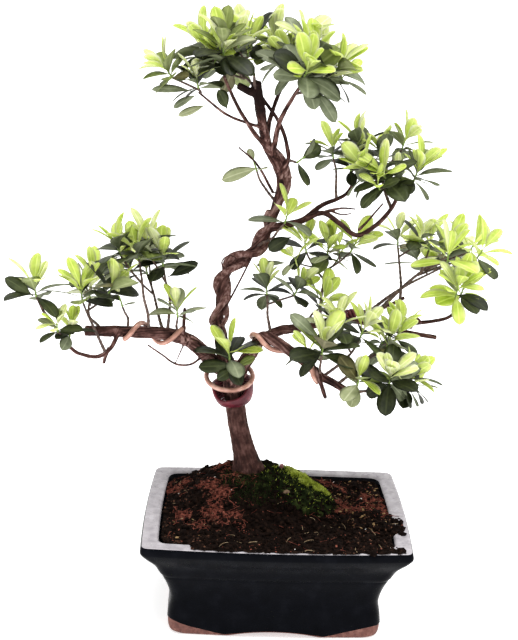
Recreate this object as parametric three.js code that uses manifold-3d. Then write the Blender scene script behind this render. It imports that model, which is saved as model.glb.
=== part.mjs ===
// Azalea bonsai in a glazed rectangular pot. Millimetres, +Z up, +Y to the back, +X to the right.
// The pot stands on four corner feet and is filled with soil that is mounded round the trunk's foot.
// The trunk winds up through two bends to a cut tip, with strands twisted round it and a thin second
// stem beside its top, and carries boughs to the left, the right, the upper right and the crown.
// Training wire is coiled on the lower boughs and round the fork. Each mass of leaves is a stem that
// forks into leafy shoots.

import * as THREE from 'three';
import { ConvexGeometry } from 'three/addons/geometries/ConvexGeometry.js';
import { mergeVertices } from 'three/addons/utils/BufferGeometryUtils.js';
import Module from 'manifold-3d';

const wasm = await Module();
wasm.setup();

// Clearance between neighbouring pieces
const GAP = 0.3;

// Least height of a triangle where pieces are joined
const FINEST = 0.004;

// Pot: outline of the rim, and how far each level of the wall lies inside it
const RIM_WIDTH = 155;
const RIM_DEPTH = 115;
const POT_HEIGHT = 62;
const RIM_BOW = 3;
const RIM_CORNER = 4;
const CORNER_GROWTH = 0.4;
const BOW_INSET = 30;
const DEPTH_SHARE = 0.82;
const SIDE_STEPS = 4;
const FLOOR_HEIGHT = 8;
const POT_OUTSIDE = [
  { inset: 17, z: 0 },
  { inset: 15.4, z: 1.5 },
  { inset: 14.8, z: 6 },
  { inset: 15.2, z: 12 },
  { inset: 16.3, z: 20 },
  { inset: 15.6, z: 26 },
  { inset: 14, z: 32 },
  { inset: 11.2, z: 39.3 },
  { inset: 7.5, z: 47 },
  { inset: 3, z: 53 },
  { inset: 1, z: 56 },
  { inset: 0, z: 58 },
  { inset: 0, z: 61.2 },
  { inset: 0.8, z: POT_HEIGHT },
];
const POT_INSIDE = [
  { inset: 8.6, z: POT_HEIGHT },
  { inset: 9.4, z: 61 },
  { inset: 14, z: 52 },
  { inset: 21, z: 38 },
  { inset: 22, z: FLOOR_HEIGHT },
];
const FOOT_ARCH_HEIGHT = 4;
const FRONT_ARCH_WIDTH = 54;
const SIDE_ARCH_WIDTH = 38;
const ARCH_FULLNESS = 0.6;
const ARCH_STEPS = 8;

// Soil: level along the wall, and the mound round the trunk's foot
const TRUNK_FOOT = new THREE.Vector2(-18, 24);
const GROUND = 76.5;
const SOIL_EDGE = 58.5;
const SOIL_EDGE_FRONT = 61.5;
const MOUND_FLAT = 13;
const MOUND_REACH = 58;
const SOIL_RINGS = 5;

// Moss: a low cushion on the mound, from the trunk's foot down to the right
const MOSS_CENTRE = new THREE.Vector3(12, 12, 66);
const MOSS_RADII = new THREE.Vector3(29, 18, 8.5);
const MOSS_TURN = -32;
const MOSS_SLOPE = 17;
const MOSS_SIDES = 18;
const MOSS_LEVELS = 10;

// Trunk: a flare of five low ridges at the ground, two strands twisted round its bend, and one higher up
const TRUNK_SIDES = 9;
const TRUNK_STEPS = 27;
const FLARE = 4;
const FLARE_REACH = 7;
const FLARE_RIDGES = 5;
const FLARE_RIDGE_SHARE = 0.25;
const STRANDS = [
  { from: 0.38, to: 0.7, turns: 2.3, phase: 200, radius: 2.2, steps: 22 },
  { from: 0.4, to: 0.68, turns: 2, phase: 20, radius: 2, steps: 20 },
  { from: 0.69, to: 0.88, turns: 0.6, phase: -30, radius: 1.9, steps: 10 },
];
const STRAND_SIDES = 5;
const STRAND_SINK = 0.1;
const STRAND_END = 0.12;

// Limbs: the course is the line of the middle, and the radii lie at even places from root to tip
const LIMB_SIDES = 6;
const LIMB_STEP = 7;
const LINE_STEPS = 200;
const LIMBS = {
  trunk: {
    radii: [6.6, 6.2, 5.5, 3.9, 3, 3, 3.2, 2.9, 3],
    course: [
      [-17, 24, 68], [-18, 24, 80], [-23, 24, 101], [-26, 24, 117], [-29, 24, 136], [-35, 23, 157],
      [-37, 22, 178], [-36, 23, 194], [-28, 25, 209], [-17, 28, 217], [-9, 30, 227], [-6, 31, 238],
      [-3, 31, 248], [-2, 30, 257], [-5, 29, 267], [-11, 28, 277], [-15, 28, 293], [-19, 28, 314],
    ],
  },
  second_stem: {
    radii: [1.4, 1],
    course: [[-3, 29, 261], [1, 27, 270], [0, 28, 278], [-2, 30, 285], [-6, 31, 293], [-15, 29, 305]],
  },
  left_bough: {
    radii: [4.8, 3],
    course: [[-29, 24, 137], [-40, 20, 147], [-48, 15, 157], [-57, 10, 165], [-75, 4, 170], [-114, -2, 172]],
  },
  left_low_branch: {
    radii: [1.4, 0.8],
    course: [
      [-95, 0, 171], [-99, -6, 163], [-106, -10, 159], [-114, -13, 161], [-121, -15, 166], [-134, -18, 186],
    ],
  },
  left_under_twig: {
    radii: [0.8, 0.6],
    course: [[-46, 16, 153], [-53, 12, 148.5], [-62, 7, 150], [-70, 3, 157], [-78, -1, 164]],
  },
  right_lower_bough: {
    radii: [4.6, 1.9],
    course: [
      [-28, 24, 132], [-22, 20, 146], [-16, 15, 158], [-11, 10, 167], [-4, 4, 167], [5, -2, 163],
      [14, -7, 158], [23, -11, 151], [33, -15, 147], [42, -18, 141],
    ],
  },
  right_upper_bough: {
    radii: [3, 2.6, 1.6, 1.1],
    course: [
      [-11, 10, 166], [-1, 15, 170], [9, 20, 170], [19, 25, 171], [36, 32, 174], [63, 40, 179], [76, 42, 185],
    ],
  },
  right_far_bough: {
    radii: [1.9, 1],
    course: [[34, 31, 174], [54, 26, 173], [77, 24, 174], [91, 26, 175], [101, 28, 177], [107, 29, 182]],
  },
  right_cut_stub: {
    radii: [1.7, 1.4],
    course: [[54, 26, 173], [66, 20, 171], [93, 16, 168]],
  },
  upper_right_bough: {
    radii: [2.5, 1.6, 1.4, 1.2],
    course: [
      [-7, 30, 229], [9, 27, 234], [22, 24, 240], [32, 20, 235], [42, 16, 229], [52, 14, 235], [60, 14, 244],
      [65, 14, 254],
    ],
  },
  upper_right_branch: {
    radii: [1.7, 1],
    course: [[12, 26, 236], [22, 32, 243], [31, 37, 246], [37, 40, 249], [41, 42, 255]],
  },
  crown_left_bough: {
    radii: [1.5, 0.9],
    course: [[-9, 28, 274], [-18, 24, 284], [-24, 20, 293], [-30, 16, 303], [-37, 12, 318]],
  },
  crown_right_bough: {
    radii: [1.8, 1],
    course: [[-8, 28, 273], [-5, 22, 292], [2, 17, 307], [7, 15, 315]],
  },
  crown_mid_bough: {
    radii: [1.6, 1],
    course: [[-12, 28, 281], [-10, 36, 293], [-5, 44, 307], [-1, 48, 314]],
  },
  crown_side_bough: {
    radii: [1, 0.7],
    course: [[-14, 28, 288], [-26, 24, 292], [-33, 20, 295], [-39, 16, 299], [-51, 11, 309]],
  },
};

// Training wire: coils on two boughs, and a loose ring over a spiral like a bowl round the fork
const WIRE_RADIUS = 1.5;
const WIRE_SIDES = 5;
const WIRE_STEPS_A_TURN = 10;
const COILS = [
  { name: 'wire_left', limb: 'left_bough', from: 0.44, to: 0.78, turns: -1.42, phase: 121 },
  { name: 'wire_right', limb: 'right_lower_bough', from: 0.32, to: 0.8, turns: 1.37, phase: -133 },
];
const FORK_SPIRAL = { from: 0.205, to: 0.252, turns: 2.4, phase: 90, flare: 4.8 };
const FORK_RING = { at: 0.272, radius: 14, tilt: 19 };

// Leaves and shoots
const GOLDEN_ANGLE = 137.5;
const STEM_RADIUS = 1;
const SHOOT_RADIUS = 0.85;
const SHOOT_LENGTH = 6.5;
const CROWN_RADIUS = 1;
const BUD_RADIUS = 0.55;
const LEAF_SINK = 0.25;
const LOWEST_LEAF = 4;
const HIGHEST_LEAF = 76;
const LEAF_WIDTH = 0.58;
const LEAF_THICKNESS = 0.05;
const LEAF_WIDEST = 0.58;
const LEAF_CLEARANCE = 0.5;
const MASS_CLEARANCE = 0.8;
const DEEPEST_ROOT = 0.97;
const STEM_GROWTH = 0.1;
const LEAN = 0.7;

// Range of each draw: shares of a length, or degrees
const FIRST_SEED = 100;
const KNEE_DRAW = [-0.12, 0.12];
const SPREAD_DRAW = [0.85, 1.15];
const LIFT_DRAW = [0.6, 1.2];
const FORK_DRAW = [0.15, 0.65];
const SWAY_DRAW = [-0.3, 0.3];
const BEARING_DRAW = [-12, 12];
const STEEPNESS_DRAW = [-4, 4];
const OLD_LENGTH_DRAW = [0.95, 1.2];
const YOUNG_LENGTH_DRAW = [0.9, 1.15];
const ROLL_DRAW = [-14, 14];
const SEATS = [0.08, 0.92];

// Sizes and turns that are tried for a leaf, and turns for a twig
const SHORTER_LEAVES = [1, 0.84, 0.7, 0.58];
const LEAF_TURNS = [0, 3, -3, 6, -6];
const TWIG_TURNS = [0, 15, 30, 45, 60, 75, 90, 105];

function mass(name, limb, at, tip, habit = {}) {
  const usual = { shoots: 1, spread: 12, turn: 0, lift: 4, leaf: 20, old: 5, young: 3 };
  return { name, limb, at, tip: new THREE.Vector3(...tip), ...usual, ...habit };
}

// Masses of leaves: the limb that each grows from, how far along it, and the place of its first shoot
const MASSES = [
  mass('left_tip', 'left_low_branch', 1, [-139, -18, 196]),
  mass('left_low', 'left_low_branch', 0.62, [-121, -16, 173], {
    shoots: 2, spread: 8.5, turn: 230, leaf: 13, old: 3, young: 4,
  }),
  mass('left_far', 'left_low_branch', 0.24, [-115, -6, 191], {
    shoots: 2, spread: 13, turn: 10, lift: 2, leaf: 21,
  }),
  mass('left_bud', 'left_bough', 0.76, [-93, 2, 186], { leaf: 9, old: 2, young: 1 }),
  mass('left_mid', 'left_bough', 0.64, [-84, 8, 213], { shoots: 2, spread: 12, turn: 150, lift: 0 }),
  mass('left_inner', 'left_bough', 0.53, [-70, 12, 208], {
    shoots: 2, spread: 11, turn: 140, lift: 6, leaf: 21,
  }),
  mass('left_near', 'left_bough', 0.46, [-61, 4, 180], { leaf: 17 }),
  mass('left_back_far', 'left_bough', 0.9, [-116, 35, 181], { shoots: 2, spread: 13, turn: 95 }),
  mass('left_back_near', 'left_bough', 0.55, [-82, 42, 195], { shoots: 3, spread: 13, turn: 90 }),
  mass('top_side', 'crown_side_bough', 1, [-51, 11, 311], {
    shoots: 2, spread: 14, turn: 185, lift: 8, leaf: 17, old: 6,
  }),
  mass('top_left', 'crown_left_bough', 1, [-38, 12, 323], {
    shoots: 3, spread: 9, turn: 140, lift: 6, leaf: 21, old: 4, young: 4,
  }),
  mass('top_peak', 'trunk', 1, [-29, 24, 331], {
    shoots: 2, spread: 11, turn: 60, lift: -4, leaf: 21, old: 2, young: 5,
  }),
  mass('top_mid', 'crown_mid_bough', 1, [-8, 44, 331], {
    shoots: 3, spread: 14, turn: 200, lift: 2, leaf: 21, old: 3, young: 4,
  }),
  mass('top_right', 'crown_right_bough', 1, [10, 16, 323], {
    shoots: 4, spread: 14, turn: -15, lift: -4, leaf: 22,
  }),
  mass('top_under', 'crown_right_bough', 0.85, [14, 12, 312], { young: 1 }),
  mass('top_back_left', 'trunk', 0.93, [-33, 60, 318], { shoots: 3, spread: 15, turn: 100 }),
  mass('top_back_right', 'crown_mid_bough', 0.85, [8, 66, 318], { shoots: 3, spread: 15, turn: 40 }),
  mass('trunk_tuft', 'second_stem', 0.2, [6, 25, 269], { leaf: 15, old: 3, young: 0 }),
  mass('side_twig', 'trunk', 0.72, [-17, 27, 263], { leaf: 18, old: 2, young: 0 }),
  mass('upper_small', 'upper_right_branch', 0.62, [28, 38, 270], { leaf: 16 }),
  mass('upper_dark', 'upper_right_branch', 1, [39, 44, 262], {
    shoots: 2, spread: 12, turn: 60, leaf: 16, young: 1,
  }),
  mass('upper_right', 'upper_right_bough', 1, [58, 13, 260], { shoots: 3, spread: 14, turn: 5, lift: 3 }),
  mass('upper_back', 'upper_right_bough', 0.9, [57, 38, 268], {
    shoots: 3, spread: 13, turn: 30, lift: 8, leaf: 18,
  }),
  mass('trunk_front', 'trunk', 0.6, [0, 20, 234], { leaf: 19, old: 2, young: 4 }),
  mass('fork_tuft', 'trunk', 0.27, [-30, 11, 151], { leaf: 21 }),
  mass('centre_left', 'right_upper_bough', 0.06, [-9, 18, 191], {
    shoots: 2, spread: 16, turn: -10, lift: 1, leaf: 17,
  }),
  mass('centre_high', 'right_upper_bough', 0.42, [27, 32, 211], {
    shoots: 3, spread: 14, turn: 190, lift: 6, leaf: 19, old: 3, young: 4,
  }),
  mass('centre_front', 'right_upper_bough', 0.33, [22, 18, 183], { old: 3, young: 5 }),
  mass('front', 'right_lower_bough', 0.78, [22, -26, 169], { leaf: 22, old: 6, young: 2 }),
  mass('front_right', 'right_lower_bough', 0.8, [45, -8, 174], {
    shoots: 2, spread: 12, turn: 180, leaf: 19, old: 3, young: 5,
  }),
  mass('lower_mid', 'right_lower_bough', 0.89, [61, -4, 166], {
    shoots: 2, spread: 13, turn: 60, old: 3, young: 5,
  }),
  mass('lower_tip', 'right_lower_bough', 1, [43, -26, 151], { leaf: 17, young: 1 }),
  mass('lower_right', 'right_lower_bough', 0.96, [70, -14, 148], { shoots: 2, spread: 13, turn: 230, old: 6 }),
  mass('right_left', 'right_upper_bough', 1, [71, 50, 216], {
    shoots: 2, spread: 12, turn: -20, lift: 2, leaf: 17, old: 4,
  }),
  mass('right_high', 'right_upper_bough', 0.84, [100, 37, 213], {
    shoots: 5, spread: 16, turn: -15, lift: 0, old: 2, young: 4,
  }),
  mass('right_low', 'right_far_bough', 1, [107, 26, 191], {
    shoots: 2, spread: 13, turn: 250, old: 3, young: 5,
  }),
  mass('right_back', 'right_upper_bough', 0.76, [103, 76, 196], { shoots: 3, spread: 15, turn: 60 }),
];

// Colours
const GLAZE = { color: 0x1b1e27, roughness: 0.2 };
const SOIL = { color: 0x33231b, roughness: 0.95 };
const MOSS = { color: 0x5c6b1c, roughness: 0.95 };
const BARK = { color: 0x5b3d36, roughness: 0.85 };
const COPPER = { color: 0xc98a72, roughness: 0.45, metalness: 0.6 };
const RED_WIRE = { color: 0x6d1f2c, roughness: 0.4, metalness: 0.4 };
const LEAVES = { color: 0x5d8a2c, roughness: 0.5 };

// Draws between two limits that are always the same for one seed
function seeded(seed) {
  let state = seed | 0;
  return ([low, high]) => {
    state = (state + 0x6d2b79f5) | 0;
    let mixed = Math.imul(state ^ (state >>> 15), state | 1);
    mixed ^= mixed + Math.imul(mixed ^ (mixed >>> 7), mixed | 61);
    return low + ((high - low) * ((mixed ^ (mixed >>> 14)) >>> 0)) / 4294967296;
  };
}

// Solids
function solid(geometry) {
  const bare = geometry.clone();
  bare.deleteAttribute('normal');
  bare.deleteAttribute('uv');
  const merged = mergeVertices(bare, 1e-4);
  const vertProperties = new Float32Array(merged.attributes.position.array);
  const triVerts = new Uint32Array(merged.index.array);
  return new wasm.Manifold(new wasm.Mesh({ numProp: 3, vertProperties, triVerts }));
}

function geometryOf(body) {
  const shape = body.getMesh();
  const geometry = new THREE.BufferGeometry();
  geometry.setAttribute('position', new THREE.BufferAttribute(new Float32Array(shape.vertProperties), 3));
  geometry.setIndex(new THREE.BufferAttribute(new Uint32Array(shape.triVerts), 1));
  const loose = geometry.toNonIndexed();
  loose.computeVertexNormals();
  return loose;
}

// Least height of a body's triangles
function leastHeight(body) {
  const { position } = geometryOf(body).attributes;
  const triangle = new THREE.Triangle();
  let least = Infinity;
  for (let i = 0; i < position.count; i += 3) {
    triangle.setFromAttributeAndIndices(position, i, i + 1, i + 2);
    const { a, b, c } = triangle;
    const longest = Math.max(a.distanceTo(b), b.distanceTo(c), c.distanceTo(a));
    least = Math.min(least, (2 * triangle.getArea()) / longest);
  }
  return least;
}

function largestPiece(body) {
  const pieces = body.decompose();
  return pieces.reduce((best, piece) => (piece.volume() > best.volume() ? piece : best));
}

const bonsai = new THREE.Group();

function place(name, body, look) {
  const mesh = new THREE.Mesh(geometryOf(body), new THREE.MeshStandardMaterial(look));
  mesh.name = name;
  bonsai.add(mesh);
}

// Surface through closed rings of equal count, with a flat face or fan over the first ring and the last
function loft(rings) {
  const count = rings[0].length;
  const points = rings.flat();
  const index = [];
  for (let level = 0; level + 1 < rings.length; level += 1) {
    for (let i = 0; i < count; i += 1) {
      const next = (i + 1) % count;
      const [a, b] = [level * count + i, level * count + next];
      const [c, d] = [a + count, b + count];
      index.push(a, b, d, a, d, c);
    }
  }
  const lastRing = (rings.length - 1) * count;
  for (const [first, turned] of [[0, true], [lastRing, false]]) {
    if (count === 3) {
      index.push(...(turned ? [first + 2, first + 1, first] : [first, first + 1, first + 2]));
      continue;
    }
    const middle = new THREE.Vector3();
    points.slice(first, first + count).forEach((point) => middle.addScaledVector(point, 1 / count));
    points.push(middle);
    for (let i = 0; i < count; i += 1) {
      const [a, b] = [first + i, first + ((i + 1) % count)];
      index.push(...(turned ? [b, a, points.length - 1] : [a, b, points.length - 1]));
    }
  }
  const geometry = new THREE.BufferGeometry().setFromPoints(points);
  geometry.setIndex(index);
  return geometry;
}

// Pot outline at one inset: a rectangle with round corners and gently bowed sides
function potRing({ inset, z }, clearance = 0) {
  const x = RIM_WIDTH / 2 - inset - clearance;
  const y = RIM_DEPTH / 2 - inset * DEPTH_SHARE - clearance;
  const corner = RIM_CORNER + inset * CORNER_GROWTH;
  const bow = 2 * RIM_BOW * (1 - inset / BOW_INSET);
  const outline = new THREE.Path();
  outline.moveTo(x, -y + corner);
  outline.quadraticCurveTo(x + bow / 2, 0, x, y - corner);
  outline.quadraticCurveTo(x, y, x - corner, y);
  outline.quadraticCurveTo(0, y + bow / 2, -x + corner, y);
  outline.quadraticCurveTo(-x, y, -x, y - corner);
  outline.quadraticCurveTo(-x - bow / 2, 0, -x, -y + corner);
  outline.quadraticCurveTo(-x, -y, -x + corner, -y);
  outline.quadraticCurveTo(0, -y - bow, x - corner, -y);
  outline.quadraticCurveTo(x, -y, x, -y + corner);
  return outline.getPoints(SIDE_STEPS).slice(0, -1).map((point) => new THREE.Vector3(point.x, point.y, z));
}

function archCutter(width, length) {
  const half = width / 2;
  const pull = (4 / 3) * FOOT_ARCH_HEIGHT;
  const arch = new THREE.Shape();
  arch.moveTo(-half, -FOOT_ARCH_HEIGHT);
  arch.lineTo(-half, 0);
  arch.bezierCurveTo(-ARCH_FULLNESS * half, pull, ARCH_FULLNESS * half, pull, half, 0);
  arch.lineTo(half, -FOOT_ARCH_HEIGHT);
  const options = { depth: length, bevelEnabled: false, curveSegments: ARCH_STEPS };
  const cutter = new THREE.ExtrudeGeometry(arch, options);
  cutter.translate(0, 0, -length / 2);
  return cutter.rotateX(Math.PI / 2);
}

function makePot() {
  const rings = [...POT_OUTSIDE, ...POT_INSIDE].map((level) => potRing(level));
  const frontArch = solid(archCutter(FRONT_ARCH_WIDTH, RIM_WIDTH));
  const sideArch = solid(archCutter(SIDE_ARCH_WIDTH, 2 * RIM_WIDTH).rotateZ(Math.PI / 2));
  place('pot', solid(loft(rings)).subtract(frontArch).subtract(sideArch), GLAZE);
}

// Height of the soil: a little higher towards the front, and smoothly up to the flat top of the mound
function soilHeight(spot, reach) {
  const climb = 1 - THREE.MathUtils.smoothstep(spot.distanceTo(TRUNK_FOOT), MOUND_FLAT, reach);
  const edge = THREE.MathUtils.mapLinear(spot.y, RIM_DEPTH / 2, -RIM_DEPTH / 2, SOIL_EDGE, SOIL_EDGE_FRONT);
  return THREE.MathUtils.lerp(edge, GROUND, climb);
}

function makeSoil() {
  const [, lip, bend, waist, floor] = POT_INSIDE;
  const wall = [floor, waist, bend].map((level) => potRing(level, GAP));
  wall[0].forEach((point) => point.setZ(FLOOR_HEIGHT + GAP));
  const share = (SOIL_EDGE - bend.z) / (lip.z - bend.z);
  const edgeInset = THREE.MathUtils.lerp(bend.inset, lip.inset, share);
  const edge = potRing({ inset: edgeInset, z: SOIL_EDGE }, GAP);
  const surface = [edge];
  for (let ring = 1; ring <= SOIL_RINGS; ring += 1) {
    surface.push(edge.map(({ x, y }) => {
      const rim = new THREE.Vector2(x, y);
      const top = rim.clone().sub(TRUNK_FOOT).setLength(MOUND_FLAT).add(TRUNK_FOOT);
      const spot = rim.clone().lerp(top, ring / SOIL_RINGS);
      const reach = Math.min(MOUND_REACH, rim.distanceTo(TRUNK_FOOT));
      return new THREE.Vector3(spot.x, spot.y, soilHeight(spot, reach));
    }));
  }
  const soil = solid(loft([...wall, ...surface]));
  place('soil', soil, SOIL);
  return soil;
}

function makeMoss(soil, trunk) {
  const dome = new THREE.SphereGeometry(1, MOSS_SIDES, MOSS_LEVELS);
  dome.rotateX(Math.PI / 2);
  dome.scale(...MOSS_RADII);
  dome.rotateY(THREE.MathUtils.degToRad(MOSS_SLOPE));
  dome.rotateZ(THREE.MathUtils.degToRad(MOSS_TURN));
  dome.translate(...MOSS_CENTRE);
  const cushion = solid(dome).subtract(soil.translate(0, 0, GAP)).subtract(trunk);
  place('moss', largestPiece(cushion).simplify(FINEST), MOSS);
}

// A round bar bent along a curve and a little past its end, its radius given along it and round it
function bentBar(curve, radiusAt, sides, steps, past = 0) {
  const bar = new THREE.CylinderGeometry(1, 1, 1, sides, steps);
  const frames = curve.computeFrenetFrames(steps, false);
  const position = bar.attributes.position;
  const local = new THREE.Vector3();
  for (let i = 0; i < position.count; i += 1) {
    local.fromBufferAttribute(position, i);
    const step = Math.round((local.y + 0.5) * steps);
    const radius = radiusAt(step / steps, Math.atan2(local.z, local.x));
    const point = curve.getPointAt(step / steps);
    point.addScaledVector(frames.tangents[step], step === steps ? past : 0);
    point.addScaledVector(frames.normals[step], local.x * radius);
    point.addScaledVector(frames.binormals[step], -local.z * radius);
    position.setXYZ(i, point.x, point.y, point.z);
  }
  return bar;
}

// A limb's middle line, with its radius and its frame at any place along it
function limbLine(name) {
  const { course, radii } = LIMBS[name];
  const points = course.map((point) => new THREE.Vector3(...point));
  const curve = new THREE.CatmullRomCurve3(points, false, 'catmullrom');
  curve.arcLengthDivisions = 2 * LINE_STEPS;
  const frames = curve.computeFrenetFrames(LINE_STEPS, false);
  const radiusAt = (along) => {
    const place = along * (radii.length - 1);
    const step = Math.min(Math.floor(place), radii.length - 2);
    return THREE.MathUtils.lerp(radii[step], radii[step + 1], place - step);
  };
  const offset = (along, angle, distance) => {
    const step = Math.round(along * LINE_STEPS);
    const point = curve.getPointAt(along);
    point.addScaledVector(frames.normals[step], distance * Math.cos(angle));
    return point.addScaledVector(frames.binormals[step], distance * Math.sin(angle));
  };
  return { name, curve, radiusAt, offset, steps: Math.round(curve.getLength() / LIMB_STEP) };
}

const lines = Object.fromEntries(Object.keys(LIMBS).map((name) => [name, limbLine(name)]));

// A curve that winds round a limb between two places along it
class Winding extends THREE.Curve {
  constructor(line, { from, to, turns, phase }, distanceAt) {
    super();
    Object.assign(this, { line, from, to, turns, phase: THREE.MathUtils.degToRad(phase), distanceAt });
  }

  getPoint(share) {
    const along = THREE.MathUtils.lerp(this.from, this.to, share);
    const angle = this.phase + share * this.turns * 2 * Math.PI;
    return this.line.offset(along, angle, this.distanceAt(along, share));
  }
}

function trunkRadius(extra) {
  const { curve, radiusAt } = lines.trunk;
  return (along, angle) => {
    const above = Math.max(0, curve.getPointAt(along).z - GROUND);
    const ridges = 1 + FLARE_RIDGE_SHARE * Math.cos(FLARE_RIDGES * angle);
    return radiusAt(along) + extra + FLARE * ridges * Math.exp(-above / FLARE_REACH);
  };
}

function trunkSolid(extra) {
  const line = lines.trunk;
  let trunk = solid(bentBar(line.curve, trunkRadius(extra), TRUNK_SIDES, TRUNK_STEPS, extra));
  for (const strand of STRANDS) {
    const winding = new Winding(line, strand, (along) => line.radiusAt(along) + strand.radius * STRAND_SINK);
    const thinToEnds = (share) => {
      const swell = Math.sin(Math.PI * THREE.MathUtils.lerp(STRAND_END, 1 - STRAND_END, share));
      return extra + strand.radius * Math.sqrt(swell);
    };
    trunk = trunk.add(solid(bentBar(winding, thinToEnds, STRAND_SIDES, strand.steps)));
  }
  const below = new THREE.BoxGeometry(RIM_WIDTH, RIM_DEPTH, POT_HEIGHT);
  below.translate(TRUNK_FOOT.x, TRUNK_FOOT.y, GROUND + GAP - extra - POT_HEIGHT / 2);
  return largestPiece(trunk.subtract(solid(below)));
}

function limbSolid(name, extra) {
  if (name === 'trunk') {
    return trunkSolid(extra);
  }
  const { curve, radiusAt, steps } = lines[name];
  return solid(bentBar(curve, (along) => radiusAt(along) + extra, LIMB_SIDES, steps, extra));
}

// Every limb is cut clear of those made before it
function makeLimbs() {
  const swollen = {};
  for (const name of Object.keys(LIMBS)) {
    let limb = limbSolid(name, 0);
    Object.values(swollen).forEach((earlier) => {
      limb = limb.subtract(earlier);
    });
    place(name, largestPiece(limb).simplify(FINEST), BARK);
    swollen[name] = limbSolid(name, GAP);
  }
  return swollen;
}

// Wire
function ngon(radius, sides) {
  const corners = [];
  for (let i = 0; i < sides; i += 1) {
    const angle = (i / sides) * 2 * Math.PI;
    corners.push(new THREE.Vector2(radius * Math.cos(angle), radius * Math.sin(angle)));
  }
  return new THREE.Shape(corners);
}

function wireAlong(path, steps) {
  const section = ngon(WIRE_RADIUS, WIRE_SIDES);
  return solid(new THREE.ExtrudeGeometry(section, { steps, bevelEnabled: false, extrudePath: path }));
}

// Distance from a limb's middle to a wire round it, with room for the flats between the wire's steps
function wireDistance(radius) {
  return (radius + WIRE_RADIUS + GAP) / Math.cos(Math.PI / WIRE_STEPS_A_TURN);
}

function makeWires() {
  const paths = [];
  for (const coil of COILS) {
    const line = lines[coil.limb];
    const path = new Winding(line, coil, (along) => wireDistance(line.radiusAt(along)));
    place(coil.name, wireAlong(path, Math.round(Math.abs(coil.turns) * WIRE_STEPS_A_TURN)), COPPER);
    paths.push(path);
  }
  const trunk = lines.trunk;
  const bowl = (along, share) => {
    const flats = trunk.radiusAt(along) * Math.cos(Math.PI / TRUNK_SIDES);
    const swell = Math.sqrt(share * (2 - share));
    return flats + WIRE_RADIUS * Math.cos(Math.PI / WIRE_SIDES) + FORK_SPIRAL.flare * swell;
  };
  const spiral = new Winding(trunk, FORK_SPIRAL, bowl);
  place('wire_fork_red', wireAlong(spiral, Math.round(FORK_SPIRAL.turns * WIRE_STEPS_A_TURN)), RED_WIRE);
  const ring = new THREE.TorusGeometry(FORK_RING.radius, WIRE_RADIUS, WIRE_SIDES, 2 * WIRE_STEPS_A_TURN);
  const middle = trunk.curve.getPointAt(FORK_RING.at);
  const forward = FORK_RING.radius - wireDistance(trunk.radiusAt(FORK_RING.at));
  const seat = new THREE.Matrix4().makeRotationX(THREE.MathUtils.degToRad(FORK_RING.tilt));
  seat.setPosition(middle.x, middle.y - forward, middle.z);
  place('wire_fork', solid(ring.applyMatrix4(seat)), COPPER);
  const circle = new THREE.EllipseCurve(0, 0, FORK_RING.radius, FORK_RING.radius);
  const loop = { getPoints: (count) => (
    circle.getPoints(count).map(({ x, y }) => new THREE.Vector3(x, y, 0).applyMatrix4(seat))
  ) };
  return [...paths, spiral, loop];
}

// Straight bars along limbs, wire and stems, which leaves keep clear of
const BARS_A_LIMB = 24;
const BARS_A_WIRE = 40;

function bars(points, radius, owner) {
  return points.slice(1).map((end, i) => ({ line: new THREE.Line3(points[i], end), radius, owner }));
}

function limbBars() {
  return Object.values(lines).flatMap(({ name, curve, radiusAt }) => {
    const points = curve.getSpacedPoints(BARS_A_LIMB);
    const strand = name === 'trunk' ? STRANDS[0].radius : 0;
    return bars(points, 0, name).map((bar, i) => ({ ...bar, radius: radiusAt(i / BARS_A_LIMB) + strand }));
  });
}

function touches(point, obstacles, owner, clearance) {
  const nearest = new THREE.Vector3();
  return obstacles.some((bar) => {
    if (bar.owner === owner) {
      return false;
    }
    bar.line.closestPointToPoint(point, true, nearest);
    return nearest.distanceTo(point) < bar.radius + clearance;
  });
}

// A shoot's frame: its axis and two directions across it
function across(axis) {
  const side = new THREE.Vector3(0, 0, 1).cross(axis);
  if (side.length() < 0.05) {
    side.set(1, 0, 0);
  }
  side.normalize();
  return [side, new THREE.Vector3().crossVectors(axis, side)];
}

// The bare skeleton of a mass: a stem with a knee, and shoots that fork from its upper half
function skeleton(row, index) {
  const draw = seeded(FIRST_SEED + index);
  const line = lines[row.limb];
  const root = line.curve.getPointAt(Math.min(row.at, DEEPEST_ROOT));
  const run = row.tip.clone().sub(root);
  const [sideways, upright] = across(run.clone().normalize());
  const knee = root.clone().addScaledVector(run, 0.5);
  knee.addScaledVector(sideways, run.length() * draw(KNEE_DRAW));
  knee.addScaledVector(upright, run.length() * draw(KNEE_DRAW));
  const shoots = [{ fork: knee, base: row.tip }];
  for (let k = 1; k < row.shoots; k += 1) {
    const bearing = THREE.MathUtils.degToRad(row.turn + (k - 1) * GOLDEN_ANGLE);
    const distance = row.spread * draw(SPREAD_DRAW);
    const rise = row.lift * draw(LIFT_DRAW);
    const base = row.tip.clone();
    base.add(new THREE.Vector3(distance * Math.cos(bearing), distance * Math.sin(bearing), rise));
    shoots.push({ fork: knee.clone().lerp(row.tip, draw(FORK_DRAW)), base });
  }
  for (const shoot of shoots) {
    const lean = shoot.base.clone().sub(shoot.fork).normalize();
    const sway = new THREE.Vector3(draw(SWAY_DRAW), draw(SWAY_DRAW), 0);
    shoot.axis = new THREE.Vector3(0, 0, 1).addScaledVector(lean, LEAN).add(sway).normalize();
    shoot.end = shoot.base.clone().addScaledVector(shoot.axis, SHOOT_LENGTH);
  }
  return { row, root, knee, shoots, draw };
}

function skeletonBars({ row, root, knee, shoots }) {
  const stem = bars([root, knee], STEM_RADIUS, row.name);
  const forked = shoots.map(({ fork, base, end }) => bars([fork, base, end], SHOOT_RADIUS, row.name));
  return [...stem, ...forked.flat()];
}

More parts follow.
